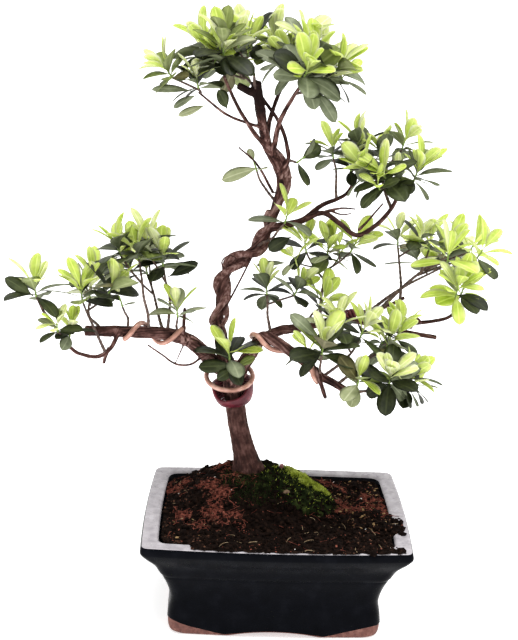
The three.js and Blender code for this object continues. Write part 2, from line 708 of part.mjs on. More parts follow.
// A three-sided twig through a few points, its radius given at each
function twig(points, radii, turn) {
  const rings = [];
  let side = null;
  points.forEach((point, i) => {
    const before = points[Math.max(0, i - 1)];
    const after = points[Math.min(points.length - 1, i + 1)];
    const axis = after.clone().sub(before).normalize();
    side = side ? side.addScaledVector(axis, -side.dot(axis)).normalize() : across(axis)[0];
    const other = new THREE.Vector3().crossVectors(axis, side);
    rings.push([0, 120, 240].map((degrees) => {
      const angle = THREE.MathUtils.degToRad(degrees + turn);
      const corner = point.clone().addScaledVector(side, radii[i] * Math.cos(angle));
      return corner.addScaledVector(other, radii[i] * Math.sin(angle));
    }));
  });
  return loft(rings);
}

// A leaf that is pointed at both ends and widest past its middle, with a ridge above and both edges lower
function leafGeometry({ root, along, side, face, length, width }) {
  const middle = root.clone().addScaledVector(along, LEAF_WIDEST * length);
  middle.addScaledVector(face, -length * LEAF_THICKNESS);
  return new ConvexGeometry([
    root,
    root.clone().addScaledVector(along, length),
    middle.clone().addScaledVector(side, width / 2),
    middle.clone().addScaledVector(side, -width / 2),
  ]);
}

// Places on a leaf where it is tested: along its middle, and on both edges
function leafPlaces({ root, along, side, length, width }) {
  const places = [];
  for (let share = 0.3; share < 1.01; share += 0.1) {
    const middle = root.clone().addScaledVector(along, share * length);
    const half = (width / 2) * Math.min(share / LEAF_WIDEST, (1 - share) / (1 - LEAF_WIDEST));
    places.push(...[-half, 0, half].map((offset) => middle.clone().addScaledVector(side, offset)));
  }
  return places;
}

// Leaves wind up a shoot: broad old ones spread below, and young ones stand up in the middle
function leavesOf({ row, draw }, shoot) {
  const [east, north] = across(shoot.axis);
  const count = row.old + row.young;
  const start = draw([0, 360]);
  const leaves = [];
  for (let k = 0; k < count; k += 1) {
    const climb = k / (count - 1);
    const bearing = THREE.MathUtils.degToRad(start + k * GOLDEN_ANGLE + draw(BEARING_DRAW));
    const steepness = THREE.MathUtils.lerp(LOWEST_LEAF, HIGHEST_LEAF, climb) + draw(STEEPNESS_DRAW);
    const steep = THREE.MathUtils.degToRad(steepness);
    const length = row.leaf * draw(k < row.old ? OLD_LENGTH_DRAW : YOUNG_LENGTH_DRAW);
    const roll = THREE.MathUtils.degToRad(draw(ROLL_DRAW));
    const radial = east.clone().multiplyScalar(Math.cos(bearing)).addScaledVector(north, Math.sin(bearing));
    const along = radial.clone().multiplyScalar(Math.cos(steep)).addScaledVector(shoot.axis, Math.sin(steep));
    const flatSide = new THREE.Vector3().crossVectors(shoot.axis, radial);
    const side = flatSide.applyAxisAngle(along, roll).normalize();
    const face = new THREE.Vector3().crossVectors(along, side);
    const seat = shoot.base.clone().lerp(shoot.end, THREE.MathUtils.lerp(...SEATS, climb));
    const root = seat.addScaledVector(along, -LEAF_SINK);
    leaves.push({ root, along, side, face, length });
  }
  return leaves;
}

// A leaf stays nearer to its own shoot than to any other, and clear of limbs, wire and other stems
function fits(leaf, shoot, row, hubs, obstacles) {
  return leafPlaces(leaf).every((point) => {
    const own = point.distanceTo(shoot.base);
    const crowded = hubs.some((hub) => {
      const room = hub.owner === row.name ? 0 : MASS_CLEARANCE;
      return hub.point !== shoot.base && point.distanceTo(hub.point) < own + room;
    });
    return !crowded && !touches(point, obstacles, row.name, LEAF_CLEARANCE);
  });
}

// A shoot's twig is cut clear of the limb and joined on at the first turn that leaves no sliver
function addTwig(body, points, radii, limb) {
  for (const turn of TWIG_TURNS) {
    const grown = largestPiece(solid(twig(points, radii, turn)).subtract(limb));
    const joined = (body ? body.add(grown) : grown).simplify(FINEST);
    if (leastHeight(joined) > FINEST) {
      return joined;
    }
  }
  return body;
}

// A leaf is joined on at the first size and turn that fits and leaves no sliver, or it is left out
function addLeaf(body, leaf, shoot, isClear) {
  for (const turn of LEAF_TURNS) {
    const angle = THREE.MathUtils.degToRad(turn);
    const [along, side, face] = [leaf.along, leaf.side, leaf.face].map((direction) => (
      direction.clone().applyAxisAngle(shoot.axis, angle)
    ));
    for (const part of SHORTER_LEAVES) {
      const length = leaf.length * part;
      const tried = { root: leaf.root, along, side, face, length, width: length * LEAF_WIDTH };
      const joined = isClear(tried) ? body.add(solid(leafGeometry(tried))).simplify(FINEST) : null;
      if (joined && leastHeight(joined) > FINEST) {
        return joined;
      }
    }
  }
  return body;
}

function makeMasses(swollen, wirePaths) {
  const frames = MASSES.map(skeleton);
  const hubs = frames.flatMap((frame) => (
    frame.shoots.map(({ base }) => ({ owner: frame.row.name, point: base }))
  ));
  const wireBars = wirePaths.flatMap((path) => bars(path.getPoints(BARS_A_WIRE), WIRE_RADIUS, 'wire'));
  const obstacles = [...limbBars(), ...wireBars, ...frames.flatMap(skeletonBars)];
  for (const frame of frames) {
    const { row, root, knee, shoots } = frame;
    const stemRadius = STEM_RADIUS + STEM_GROWTH * (row.shoots - 1);
    let body = null;
    for (const shoot of shoots) {
      const { fork, base, end } = shoot;
      const isFirst = shoot === shoots[0];
      const points = isFirst ? [root, knee, base, end] : [fork, base, end];
      const radii = [SHOOT_RADIUS, CROWN_RADIUS, BUD_RADIUS];
      body = addTwig(body, points, isFirst ? [stemRadius, ...radii] : radii, swollen[row.limb]);
      for (const leaf of leavesOf(frame, shoot)) {
        body = addLeaf(body, leaf, shoot, (tried) => fits(tried, shoot, row, hubs, obstacles));
      }
    }
    place(row.name, largestPiece(body), LEAVES);
  }
}

makePot();
const soil = makeSoil();
const swollenLimbs = makeLimbs();
makeMoss(soil, swollenLimbs.trunk);
const wirePaths = makeWires();
makeMasses(swollenLimbs, wirePaths);

// The origin is on the ground under the middle of the whole plant
const box = new THREE.Box3().setFromObject(bonsai);
const middle = box.getCenter(new THREE.Vector3());
bonsai.position.set(-middle.x, -middle.y, -box.min.z);

export default bonsai;
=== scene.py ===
"""Azalea bonsai in a glazed pot: bark, wire, twigs, leaves, soil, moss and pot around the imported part.

Lengths are millimetres in the plant's own frame, with the pot's middle at X = Y = 0 and its feet on Z = 0.
They become metres in the row's frame when a mesh is made. Named angles are degrees, where no comment says
otherwise.
"""
import math

import bpy
import numpy as np
from mathutils import Matrix, Vector, kdtree, noise


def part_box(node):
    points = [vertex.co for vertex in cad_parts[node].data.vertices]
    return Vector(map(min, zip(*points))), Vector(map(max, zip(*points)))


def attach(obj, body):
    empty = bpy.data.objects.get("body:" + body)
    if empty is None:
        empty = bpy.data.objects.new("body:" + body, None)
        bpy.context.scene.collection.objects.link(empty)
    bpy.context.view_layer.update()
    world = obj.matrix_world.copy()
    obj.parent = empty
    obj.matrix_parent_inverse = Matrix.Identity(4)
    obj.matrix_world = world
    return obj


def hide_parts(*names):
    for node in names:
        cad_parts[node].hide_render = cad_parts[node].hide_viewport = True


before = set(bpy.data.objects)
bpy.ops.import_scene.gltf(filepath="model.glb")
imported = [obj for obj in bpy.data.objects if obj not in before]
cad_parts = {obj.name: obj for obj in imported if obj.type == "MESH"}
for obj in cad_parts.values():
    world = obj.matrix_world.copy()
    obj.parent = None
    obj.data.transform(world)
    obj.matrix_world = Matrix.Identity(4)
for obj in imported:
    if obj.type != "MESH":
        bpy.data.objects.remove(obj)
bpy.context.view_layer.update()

MM = 0.001
X, Y = range(2)
UP = np.array([0.0, 0.0, 1.0])
RIM_WIDTH = 155
RIM_DEPTH = 115
RIM_BOW = 3
POT_HEIGHT = 62
GROUND = 76.5
TRUNK_FOOT = np.array([-18.0, 24.0])


def plant_origin():
    """Where the plant's own origin lies in the row's frame, in metres."""
    low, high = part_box("pot")
    return np.array([(low.x + high.x) / 2, high.y - (RIM_DEPTH + RIM_BOW) / 2 * MM, low.z])


ORIGIN = plant_origin()


def to_frame(points):
    return ORIGIN + np.asarray(points, float) * MM


def unit(vectors):
    """One vector, or rows of them, brought to length 1."""
    return vectors / np.linalg.norm(vectors, axis=-1, keepdims=True)


def lerp(low, high, share):
    return low + (high - low) * share


def smoothstep(value, low, high):
    """A soft step from 0 at low to 1 at high, which may lie below low."""
    share = np.clip((value - low) / (high - low), 0, 1)
    return share * share * (3 - 2 * share)


def zone(places, edges):
    """From 0 to 1, how far places lie inside some edges. Each has an axis and where it starts and is full."""
    return math.prod(smoothstep(places[..., axis], start, full) for axis, start, full in edges)


def waves(places, rows):
    """A sum of waves over places in a plane. Each has its height and its rates along X and Y."""
    return sum(height * np.sin(places @ rates) for height, rates in rows)


def turned(vector, axis, angle):
    """A vector turned about a unit axis."""
    return (
        vector * math.cos(angle)
        + np.cross(axis, vector) * math.sin(angle)
        + axis * np.dot(axis, vector) * (1 - math.cos(angle))
    )


def round_angles(count):
    """Even angles round a full turn, in radians."""
    return np.arange(count) * 2 * math.pi / count


def fractal(points, grain, octaves):
    """Fractal noise from about -1 to 1 at each point, with features of the given size."""
    return np.array([noise.fractal(Vector(point / grain), 1.0, 2.0, octaves) for point in points])


def nearest(points, middles):
    """For each point, the number of the nearest middle and its distance."""
    tree = kdtree.KDTree(len(middles))
    for k, middle in enumerate(middles):
        tree.insert(middle, k)
    tree.balance()
    _, index, away = zip(*(tree.find(point) for point in points))
    return np.array(index), np.array(away)


class Draws:
    """Draws between two limits that are always the same for one seed."""

    WORD = 0xFFFFFFFF
    STEP = 0x6D2B79F5

    def __init__(self, seed):
        self.state = seed & self.WORD

    def __call__(self, limits):
        self.state = (self.state + self.STEP) & self.WORD
        mixed = ((self.state ^ (self.state >> 15)) * (self.state | 1)) & self.WORD
        mixed ^= (mixed + (((mixed ^ (mixed >> 7)) * (mixed | 61)) & self.WORD)) & self.WORD
        low, high = limits
        return low + (high - low) * (mixed ^ (mixed >> 14)) / (self.WORD + 1)


class Shape:
    """Points and faces of many parts, gathered for one mesh. Each face has the number of its look."""

    def __init__(self, *part):
        self.points = []
        self.faces = []
        self.looks = []
        self.values = {}
        self.count = 0
        if part:
            self.add(*part)

    def add(self, points, *groups):
        for group in groups:
            self.add_faces(np.asarray(group) + self.count, 0)
        self.points.append(np.asarray(points, float))
        self.count += len(points)

    def add_faces(self, faces, looks):
        """Faces between points that are numbered from the first of the whole shape."""
        self.faces.append(faces)
        self.looks.append(np.full(len(faces), looks))

    def mesh(self, name):
        sizes = np.concatenate([np.full(len(group), group.shape[1]) for group in self.faces])
        corners = np.concatenate([group.ravel() for group in self.faces])
        mesh = bpy.data.meshes.new(name)
        mesh.vertices.add(self.count)
        set_points(mesh, np.concatenate(self.points))
        mesh.loops.add(len(corners))
        mesh.loops.foreach_set("vertex_index", corners.astype(np.int32))
        mesh.polygons.add(len(sizes))
        mesh.polygons.foreach_set("loop_start", (np.cumsum(sizes) - sizes).astype(np.int32))
        mesh.polygons.foreach_set("material_index", np.concatenate(self.looks).astype(np.int32))
        mesh.update(calc_edges=True)
        mesh.validate()
        for key, values in self.values.items():
            set_values(mesh, key, values)
        return mesh


def set_points(mesh, points):
    mesh.vertices.foreach_set("co", to_frame(points).astype(np.float32).ravel())
    mesh.update()


def set_values(mesh, name, values):
    """A named value at each point of a mesh, for its material."""
    mesh.attributes.new(name, "FLOAT", "POINT").data.foreach_set("value", values.astype(np.float32))


def placed(name, data):
    """A new object in the scene."""
    thing = bpy.data.objects.new(name, data)
    bpy.context.scene.collection.objects.link(thing)
    return thing


def add_piece(name, shape, looks, replaced=()):
    """A smooth piece of the part, from a shape or from a finished mesh."""
    mesh = shape.mesh(name) if isinstance(shape, Shape) else shape
    mesh.polygons.foreach_set("use_smooth", np.ones(len(mesh.polygons), bool))
    piece = placed(name, mesh)
    for look in looks:
        mesh.materials.append(look)
    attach(piece, "root")
    if replaced:
        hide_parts(*replaced)


# Materials

# The bark's tone at each point, with its painted highlight and painted shade, kept for its material
BARK_TONE_AND_LIGHT = "furrow"
FURROW_SHARE = 0.62
RIB = "rib"
RIB_EDGE = (0.72, 0.95)
RIB_SHARE = 0.6
RIB_LIGHT = 1.35
GLOSS_RANGE = (0.3, 0.7)
GLOSS_GRAIN = 0.6
COLOUR_DETAIL = 6
GLOSS_DETAIL = 3
RELIEF_DETAIL = 5
LEAF_DEPTHS = (0.9, 1.0, 0.6)
LEAF_SCATTER = 1.5


class Nodes:
    """The nodes of one material. An input takes a value, or the output of another node."""

    def __init__(self, name):
        self.material = bpy.data.materials.new(name)
        self.material.use_nodes = True
        self.tree = self.material.node_tree
        self.spot = self.add("TexCoord", "Object")

    def set_inputs(self, node, **inputs):
        for name, value in inputs.items():
            socket = node.inputs[name.replace("_", " ")]
            if isinstance(value, bpy.types.NodeSocket):
                self.tree.links.new(value, socket)
            else:
                socket.default_value = value

    def add(self, kind, output, **inputs):
        """Adds a node and gives one of its outputs."""
        node = self.tree.nodes.new(f"ShaderNode{kind}")
        self.set_inputs(node, **inputs)
        return node.outputs[output]

    def values(self, attribute):
        output = self.add("Attribute", "Fac")
        output.node.attribute_name = attribute
        return output

    def grains(self, size, detail):
        return self.add("TexNoise", "Fac", Vector=self.spot, Scale=1 / (size * MM), Detail=detail)

    def mapped(self, value, start, end, low, high):
        limits = {"From_Min": start, "From_Max": end, "To_Min": low, "To_Max": high}
        return self.add("MapRange", "Result", Value=value, **limits)

    def ramp(self, shade, places, tones):
        colour = self.add("ValToRGB", "Color", Fac=shade)
        stops = colour.node.color_ramp.elements
        while len(stops) < len(tones):
            stops.new(1)
        for stop, place, tone in zip(stops, places, tones):
            stop.position = place
            stop.color = (*tone, 1)
        return colour


def surface(
    name, tones, places, grain, roughness, relief=0.0, relief_grain=1.0, furrows=False, rib=None, **more,
):
    """A material whose colour, roughness and fine relief follow noise of a grain in millimetres.

    Tones lie at their places on the noise. Furrows mix in the bark's tone from its relief, with its painted
    highlight and painted shade, and rib is the colour of a leaf's middle line. Further names are inputs of
    the shader.
    """
    nodes = Nodes(name)
    shade = nodes.grains(grain, COLOUR_DETAIL)
    if furrows:
        shade = nodes.add("Mix", "Result", Factor=FURROW_SHARE, A=shade, B=nodes.values(BARK_TONE_AND_LIGHT))
    colour = nodes.ramp(shade, places, tones)
    if rib:
        line = nodes.mapped(nodes.values(RIB), *RIB_EDGE, 0, RIB_SHARE)
        colour = nodes.add("MixRGB", "Color", Fac=line, Color1=colour, Color2=(*rib, 1))
    gloss = nodes.mapped(nodes.grains(grain * GLOSS_GRAIN, GLOSS_DETAIL), *GLOSS_RANGE, *roughness)
    shader = nodes.tree.nodes["Principled BSDF"]
    nodes.set_inputs(shader, Base_Color=colour, Roughness=gloss, **more)
    if relief:
        height = nodes.grains(relief_grain, RELIEF_DETAIL)
        nodes.set_inputs(shader, Normal=nodes.add("Bump", "Normal", Distance=relief * MM, Height=height))
    return nodes.material


def glaze_look():
    tones = (0.0012, 0.0014, 0.0024), (0.002, 0.0023, 0.0038), (0.0042, 0.0046, 0.0068)
    return surface("navy_glaze", tones, (0.3, 0.55, 0.75), 9, (0.2, 0.38), 0.25, 14, Specular_IOR_Level=0.025)


# Pale lavender-grey on the rim's top and edge: painted reflection of bright light on the navy glaze
def rim_look():
    tones = (0.25, 0.23, 0.25), (0.35, 0.325, 0.345), (0.45, 0.425, 0.45)
    return surface("rim_glaze", tones, (0.3, 0.5, 0.75), 6, (0.2, 0.42), 0.12, 4)


def clay_look():
    tones = (0.09, 0.032, 0.026), (0.15, 0.055, 0.042), (0.26, 0.12, 0.09)
    return surface("red_clay", tones, (0.3, 0.5, 0.75), 3, (0.75, 0.95), 0.3, 1.2)


def soil_look(name, *tones):
    return surface(name, tones, (0.3, 0.52, 0.74), 2.2, (0.85, 1.0), 0.35, 0.7, Specular_IOR_Level=0.04)


def moss_look(name, *tones):
    return surface(name, tones, (0.32, 0.5, 0.7), 4, (0.8, 0.95), Specular_IOR_Level=0.04)


def bark_look():
    tones = (0.011, 0.0045, 0.004), (0.05, 0.021, 0.017), (0.12, 0.057, 0.048), (0.29, 0.18, 0.16)
    places = (0.2, 0.42, 0.58, 0.78)
    return surface("bark", tones, places, 3.5, (0.7, 0.92), 0.22, 0.8, furrows=True, Specular_IOR_Level=0.12)


def twig_look():
    tones = (0.03, 0.017, 0.014), (0.085, 0.05, 0.04), (0.2, 0.13, 0.1)
    return surface("twig_bark", tones, (0.3, 0.5, 0.72), 2, (0.65, 0.9), 0.1, 0.6)


def wire_look(name, metallic, *tones):
    return surface(name, tones, (0.3, 0.5, 0.72), 5, (0.3, 0.5), 0.05, 1.5, Metallic=metallic)


def leaf_look(name, tones, roughness, glow=0.0):
    """A leaf's surface, with a lighter middle rib. Light shines through by the given share."""
    rib = tuple(min(1.0, RIB_LIGHT * part) for part in tones[-1])
    depth = LEAF_SCATTER * MM
    inside = {"Subsurface_Weight": glow, "Subsurface_Radius": LEAF_DEPTHS, "Subsurface_Scale": depth}
    places = (0.28, 0.5, 0.72)
    return surface(name, tones, places, 7, roughness, 0.12, 1.6, rib=rib, Specular_IOR_Level=0.25, **inside)


# Lines

LINE_STEPS = 200


def line_frames(points):
    """Directions along a line and two across it, carried on with the least twist."""
    tangents = unit(np.gradient(points, axis=0))
    start = np.zeros(3)
    start[2 - np.argmin(np.abs(tangents[0])[::-1])] = 1
    normal = unit(np.cross(tangents[0], unit(np.cross(tangents[0], start))))
    normals = [normal]
    for before, after in zip(tangents[:-1], tangents[1:]):
        axis = np.cross(before, after)
        length = np.linalg.norm(axis)
        if length > 1e-9:
            angle = math.atan2(length, float(np.dot(before, after)))
            normal = turned(normal, axis / length, angle)
        normals.append(normal)
    normals = np.array(normals)
    return tangents, normals, np.cross(tangents, normals)


class Line:
    """A smooth line through a few points, walked by the share of its length, with radii at even places."""

    def __init__(self, radii, course):
        self.radii = radii
        points = np.array(course, float)
        ends = np.vstack([2 * points[0] - points[1], points, 2 * points[-1] - points[-2]])
        steps = np.linspace(0, len(points) - 1, 4 * LINE_STEPS + 1)
        spans = np.minimum(steps.astype(int), len(points) - 2)
        t = (steps - spans)[:, None]
        before, start, end, after = (ends[spans + k] for k in range(4))
        leave, arrive = (end - before) / 2, (after - start) / 2
        self.fine = (
            (2 * t**3 - 3 * t**2 + 1) * start + (t**3 - 2 * t**2 + t) * leave
            + (3 * t**2 - 2 * t**3) * end + (t**3 - t**2) * arrive
        )
        walked = np.concatenate([[0], np.cumsum(np.linalg.norm(np.diff(self.fine, axis=0), axis=1))])
        self.length = walked[-1]
        self.walked = walked / self.length
        self.even = self.at(np.linspace(0, 1, LINE_STEPS + 1))
        self.frames = line_frames(self.even)

    def at(self, along):
        return np.stack([np.interp(along, self.walked, self.fine[:, k]) for k in range(3)], axis=-1)

    def radius(self, along):
        return np.interp(along, np.linspace(0, 1, len(self.radii)), self.radii)

    def winding(self, coil, gaps):
        """Points that wind round the line from one place along it to another, with gaps to its bark."""
        share = np.linspace(0, 1, len(gaps))
        along = lerp(coil["start"], coil["end"], share)
        angle = (math.radians(coil["phase"]) + share * coil["turns"] * 2 * math.pi)[:, None]
        steps = np.round(along * LINE_STEPS).astype(int)
        _, normals, binormals = self.frames
        aside = np.cos(angle) * normals[steps] + np.sin(angle) * binormals[steps]
        return self.at(along) + aside * (self.radius(along) + gaps)[:, None]


def tube(points, radii, sides, bulge=0.4):
    """Points and faces of a closed round bar along a line. Radii are one a point, or one a side too."""
    tangents, normals, binormals = line_frames(points)
    angles = round_angles(sides)[None, :, None]
    ring = np.cos(angles) * normals[:, None] + np.sin(angles) * binormals[:, None]
    radii = np.broadcast_to(np.reshape(radii, (len(points), -1)), (len(points), sides))
    wall = points[:, None] + ring * radii[:, :, None]
    poles = np.array([
        points[0] - tangents[0] * radii[0].mean() * bulge,
        points[-1] + tangents[-1] * radii[-1].mean() * bulge,
    ])
    return np.concatenate([wall.reshape(-1, 3), poles]), *wall_faces(len(points), sides)


def wall_faces(rings, count):
    """Quads between closed rings that follow one another, and triangles to a pole past each end."""
    side = np.arange(count)
    after = (side + 1) % count
    starts = np.arange(rings - 1)[:, None] * count
    quads = np.stack([starts + side, starts + after, starts + count + after, starts + count + side], axis=-1)
    last = (rings - 1) * count
    pole = np.full(count, rings * count)
    triangles = np.concatenate([
        np.stack([after, side, pole], axis=-1),
        np.stack([last + side, last + after, pole + 1], axis=-1),
    ])
    return quads.reshape(-1, 4), triangles


# Limbs: the radii at even places from root to tip, and the course of the middle

LIMBS = {
    "trunk": ([6.6, 6.2, 5.5, 3.9, 3, 3, 3.2, 2.9, 3], [
        (-17, 24, 68), (-18, 24, 80), (-23, 24, 101), (-26, 24, 117), (-29, 24, 136), (-35, 23, 157),
        (-37, 22, 178), (-36, 23, 194), (-28, 25, 209), (-17, 28, 217), (-9, 30, 227), (-6, 31, 238),
        (-3, 31, 248), (-2, 30, 257), (-5, 29, 267), (-11, 28, 277), (-15, 28, 293), (-19, 28, 314),
    ]),
    "second_stem": ([1.4, 1], [
        (-3, 29, 261), (1, 27, 270), (0, 28, 278), (-2, 30, 285), (-6, 31, 293), (-15, 29, 305),
    ]),
    "left_bough": ([4.8, 3], [
        (-29, 24, 137), (-40, 20, 147), (-48, 15, 157), (-57, 10, 165), (-75, 4, 170), (-114, -2, 172),
    ]),
    "left_low_branch": ([1.4, 0.8], [
        (-95, 0, 171), (-99, -6, 163), (-106, -10, 159), (-114, -13, 161), (-121, -15, 166), (-134, -18, 186),
    ]),
    "left_under_twig": ([0.8, 0.6], [
        (-46, 16, 153), (-53, 12, 148.5), (-62, 7, 150), (-70, 3, 157), (-78, -1, 164),
    ]),
    "right_lower_bough": ([4.6, 1.9], [
        (-28, 24, 132), (-22, 20, 146), (-16, 15, 158), (-11, 10, 167), (-4, 4, 167), (5, -2, 163),
        (14, -7, 158), (23, -11, 151), (33, -15, 147), (42, -18, 141),
    ]),
    "right_upper_bough": ([3, 2.6, 1.6, 1.1], [
        (-11, 10, 166), (-1, 15, 170), (9, 20, 170), (19, 25, 171), (36, 32, 174), (63, 40, 179),
        (76, 42, 185),
    ]),
    "right_far_bough": ([1.9, 1], [
        (34, 31, 174), (54, 26, 173), (77, 24, 174), (91, 26, 175), (101, 28, 177), (107, 29, 182),
    ]),
    "right_cut_stub": ([1.7, 1.4], [(54, 26, 173), (66, 20, 171), (93, 16, 168)]),
    "upper_right_bough": ([2.5, 1.6, 1.4, 1.2], [
        (-7, 30, 229), (9, 27, 234), (22, 24, 240), (32, 20, 235), (42, 16, 229), (52, 14, 235),
        (60, 14, 244), (65, 14, 254),
    ]),
    "upper_right_branch": ([1.7, 1], [
        (12, 26, 236), (22, 32, 243), (31, 37, 246), (37, 40, 249), (41, 42, 255),
    ]),
    "crown_left_bough": ([1.5, 0.9], [
        (-9, 28, 274), (-18, 24, 284), (-24, 20, 293), (-30, 16, 303), (-37, 12, 318),
    ]),
    "crown_right_bough": ([1.8, 1], [(-8, 28, 273), (-5, 22, 292), (2, 17, 307), (7, 15, 315)]),
    "crown_mid_bough": ([1.6, 1], [(-12, 28, 281), (-10, 36, 293), (-5, 44, 307), (-1, 48, 314)]),
    "crown_side_bough": ([1, 0.7], [
        (-14, 28, 288), (-26, 24, 292), (-33, 20, 295), (-39, 16, 299), (-51, 11, 309),
    ]),
}
LINES = {name: Line(*limb) for name, limb in LIMBS.items()}
TRUNK = LINES["trunk"]

# Dead twigs, cut stubs and thin stems that the solids leave out
SNAGS = [
    ([2.4, 2.0], [(-18, 28, 307), (-23, 27.5, 309), (-29, 26, 312)]),
    ([1.1, 0.5], [(20, 24, 239), (26, 22, 242), (34, 20, 244), (41, 18, 244)]),
    ([0.8, 0.45], [(26, 22, 242), (33, 21, 240), (39, 20, 241)]),
    ([0.9, 0.6], [(43, 16, 232), (47, 14, 237), (52, 12, 244), (56, 12, 249)]),
    ([0.7, 0.65], [(-36, 20, 177), (-28, 20, 193), (-19, 25, 211)]),
    ([0.6, 0.5], [(-35, 23, 203), (-36, 17, 211), (-32, 15, 215), (-28, 17, 213), (-30, 24, 207)]),
    ([1.2, 1.0], [(-100, -5, 163), (-102, -6, 158), (-103, -7, 154)]),
    ([1.2, 1.0], [(-57.5, 8.5, 166), (-57.5, 7, 175), (-57, 6, 185)]),
    ([0.6, 0.4], [(-57, 9, 163), (-60, 7, 156), (-62.5, 6, 150)]),
    ([1.0, 0.6], [(-7, 30, 250), (-17, 27, 267), (-28, 25, 277)]),
    ([1.6, 1.2], [(20, -11, 156), (23, -16, 148), (26, -18, 140)]),
]

# Trunk: the flare of low ridges at the ground, two strands twisted round its bend, and one higher up
FLARE = 4
FLARE_REACH = 7
FLARE_RIDGES = 5
FLARE_RIDGE_SHARE = 0.25
STRANDS = [
    {"start": 0.38, "end": 0.7, "turns": 2.3, "phase": 200, "radius": 2.2},
    {"start": 0.4, "end": 0.68, "turns": 2, "phase": 20, "radius": 2},
    {"start": 0.69, "end": 0.88, "turns": 0.6, "phase": -30, "radius": 1.9},
]
STRAND_SINK = 0.55
STRAND_END = 0.12
STRAND_EDGE = (3.4, 1.6)
GROOVE = 0.3
GROOVE_START = (0.36, 0.42)
GROOVE_END = (0.72, 0.66)
TRUNK_RINGS = 360
TRUNK_SIDES = 32
STRAND_POINTS = 120
STRAND_SIDES = 12
LIMB_SIDES = 20
POINTS_A_MM = 0.8
FEWEST_POINTS = 12

# Bark: its relief, and heights between which the calm lower trunk, the foot and the bend begin and end
BARK_VOXEL = 0.42
BARK_SMOOTHINGS = 3
RELIEF_SHARE = 0.11
RELIEF_MOST = 0.5
RELIEF_CALMED = 0.45
FURROW_RELIEF = 1.1
KNOT_RELIEF = 0.9
FURROW_ACROSS = 0.85
FURROW_ALONG = 0.16
KNOT_GRAIN = 5.5
LIMBS_APART = 400
CALM_TRUNK = (138, 116)
# Painted shade darkens the trunk's foot, down where the moss and the mound meet it
PAINTED_FOOT_SHADE = (104, 76)
BEND_START = (165, 182)
BEND_END = (268, 250)
DEAD_TOP = np.array([-19, 28, 314])
DEAD_REACH = (24, 16)
DEAD_DARK = 0.95

# Shade of the bark: the weight of each feature, and what the calm trunk, the bend and the foot add to it
BARK_SHADE = {
    # The bend takes painted shade between its strands, and the foot takes painted shade
    "all": (0.47, -0.02, -0.13, -0.16),
    # Raised ridges and knots are lighter and low ones darker: partly the bark's own tone, partly painted
    # shade
    "furrows": (0.6, -0.42, -0.22, 0),
    "knots": (0.24, 0, -0.1, 0),
    # A painted highlight along the crests of the strands, stronger at the bend
    "strands": (0.16, 0, 0.2, 0),
}


def trunk_tube():
    along = np.linspace(0, 1, TRUNK_RINGS)
    points = TRUNK.at(along)
    above = np.maximum(0, points[:, 2] - GROUND)[:, None]
    ridges = 1 + FLARE_RIDGE_SHARE * np.cos(FLARE_RIDGES * round_angles(TRUNK_SIDES))[None]
    grooved = smoothstep(along, *GROOVE_START) * smoothstep(along, *GROOVE_END)
    core = TRUNK.radius(along) * (1 - GROOVE * grooved)
    return tube(points, core[:, None] + FLARE * ridges * np.exp(-above / FLARE_REACH), TRUNK_SIDES)


def strand_points(strand):
    return TRUNK.winding(strand, np.full(STRAND_POINTS, strand["radius"] * STRAND_SINK))


def strand_tube(strand):
    share = np.linspace(STRAND_END, 1 - STRAND_END, STRAND_POINTS)
    return tube(strand_points(strand), strand["radius"] * np.sqrt(np.sin(math.pi * share)), STRAND_SIDES)


def near_strands(points):
    """From 0 to 1, how near each point lies to the middle of a strand."""
    _, away = nearest(points, np.concatenate([strand_points(strand) for strand in STRANDS]))
    return smoothstep(away, *STRAND_EDGE)


def limb_tube(line):
    along = np.linspace(0, 1, max(FEWEST_POINTS, int(line.length * POINTS_A_MM)))
    return tube(line.at(along), line.radius(along), LIMB_SIDES)


def fused(mesh, voxel):
    """One skin over everything in a mesh, made from cubes of a given size in millimetres."""
    holder = placed("holder", mesh)
    remesh = holder.modifiers.new("skin", "REMESH")
    remesh.mode = "VOXEL"
    remesh.voxel_size = voxel * MM
    graph = bpy.context.evaluated_depsgraph_get()
    skin = bpy.data.meshes.new_from_object(holder.evaluated_get(graph))
    bpy.data.objects.remove(holder)
    bpy.data.meshes.remove(mesh)
    return skin


def vectors(collection, name):
    """A vector of each member of a mesh's collection, as rows."""
    rows = np.empty(3 * len(collection), np.float32)
    collection.foreach_get(name, rows)
    return rows.reshape(-1, 3).astype(float)


def smoothed(mesh, rounds):
    """Points of a mesh after each has moved half way to the middle of its neighbours, a few times over."""
    points = (vectors(mesh.vertices, "co") - ORIGIN) / MM
    ends = np.empty(2 * len(mesh.edges), np.int32)
    mesh.edges.foreach_get("vertices", ends)
    one, other = ends.reshape(-1, 2).T
    count = np.bincount(ends, minlength=len(points))[:, None]
    for _ in range(rounds):
        total = np.zeros_like(points)
        np.add.at(total, one, points[other])
        np.add.at(total, other, points[one])
        points = 0.5 * points + 0.5 * total / count
    return points


def bark_relief(points, lines):
    """How far furrows along the limb and knots stand out at each point, and the limb's radius there."""
    shares = np.linspace(0, 1, LINE_STEPS + 1)
    middles = np.concatenate([line.even for line in lines])
    tangents = np.concatenate([line.frames[0] for line in lines])
    walked = np.concatenate([shares * line.length + LIMBS_APART * k for k, line in enumerate(lines)])
    radii = np.concatenate([line.radius(shares) for line in lines])
    index, _ = nearest(points, middles)
    aside = points - middles[index]
    aside -= tangents[index] * np.sum(aside * tangents[index], axis=1)[:, None]
    spots = aside * FURROW_ACROSS + UP * (walked[index] * FURROW_ALONG)[:, None]
    furrows = np.array([noise.fractal(Vector(spot), 0.9, 2.1, 4) for spot in spots])
    return furrows, fractal(points, KNOT_GRAIN, 3), radii[index]


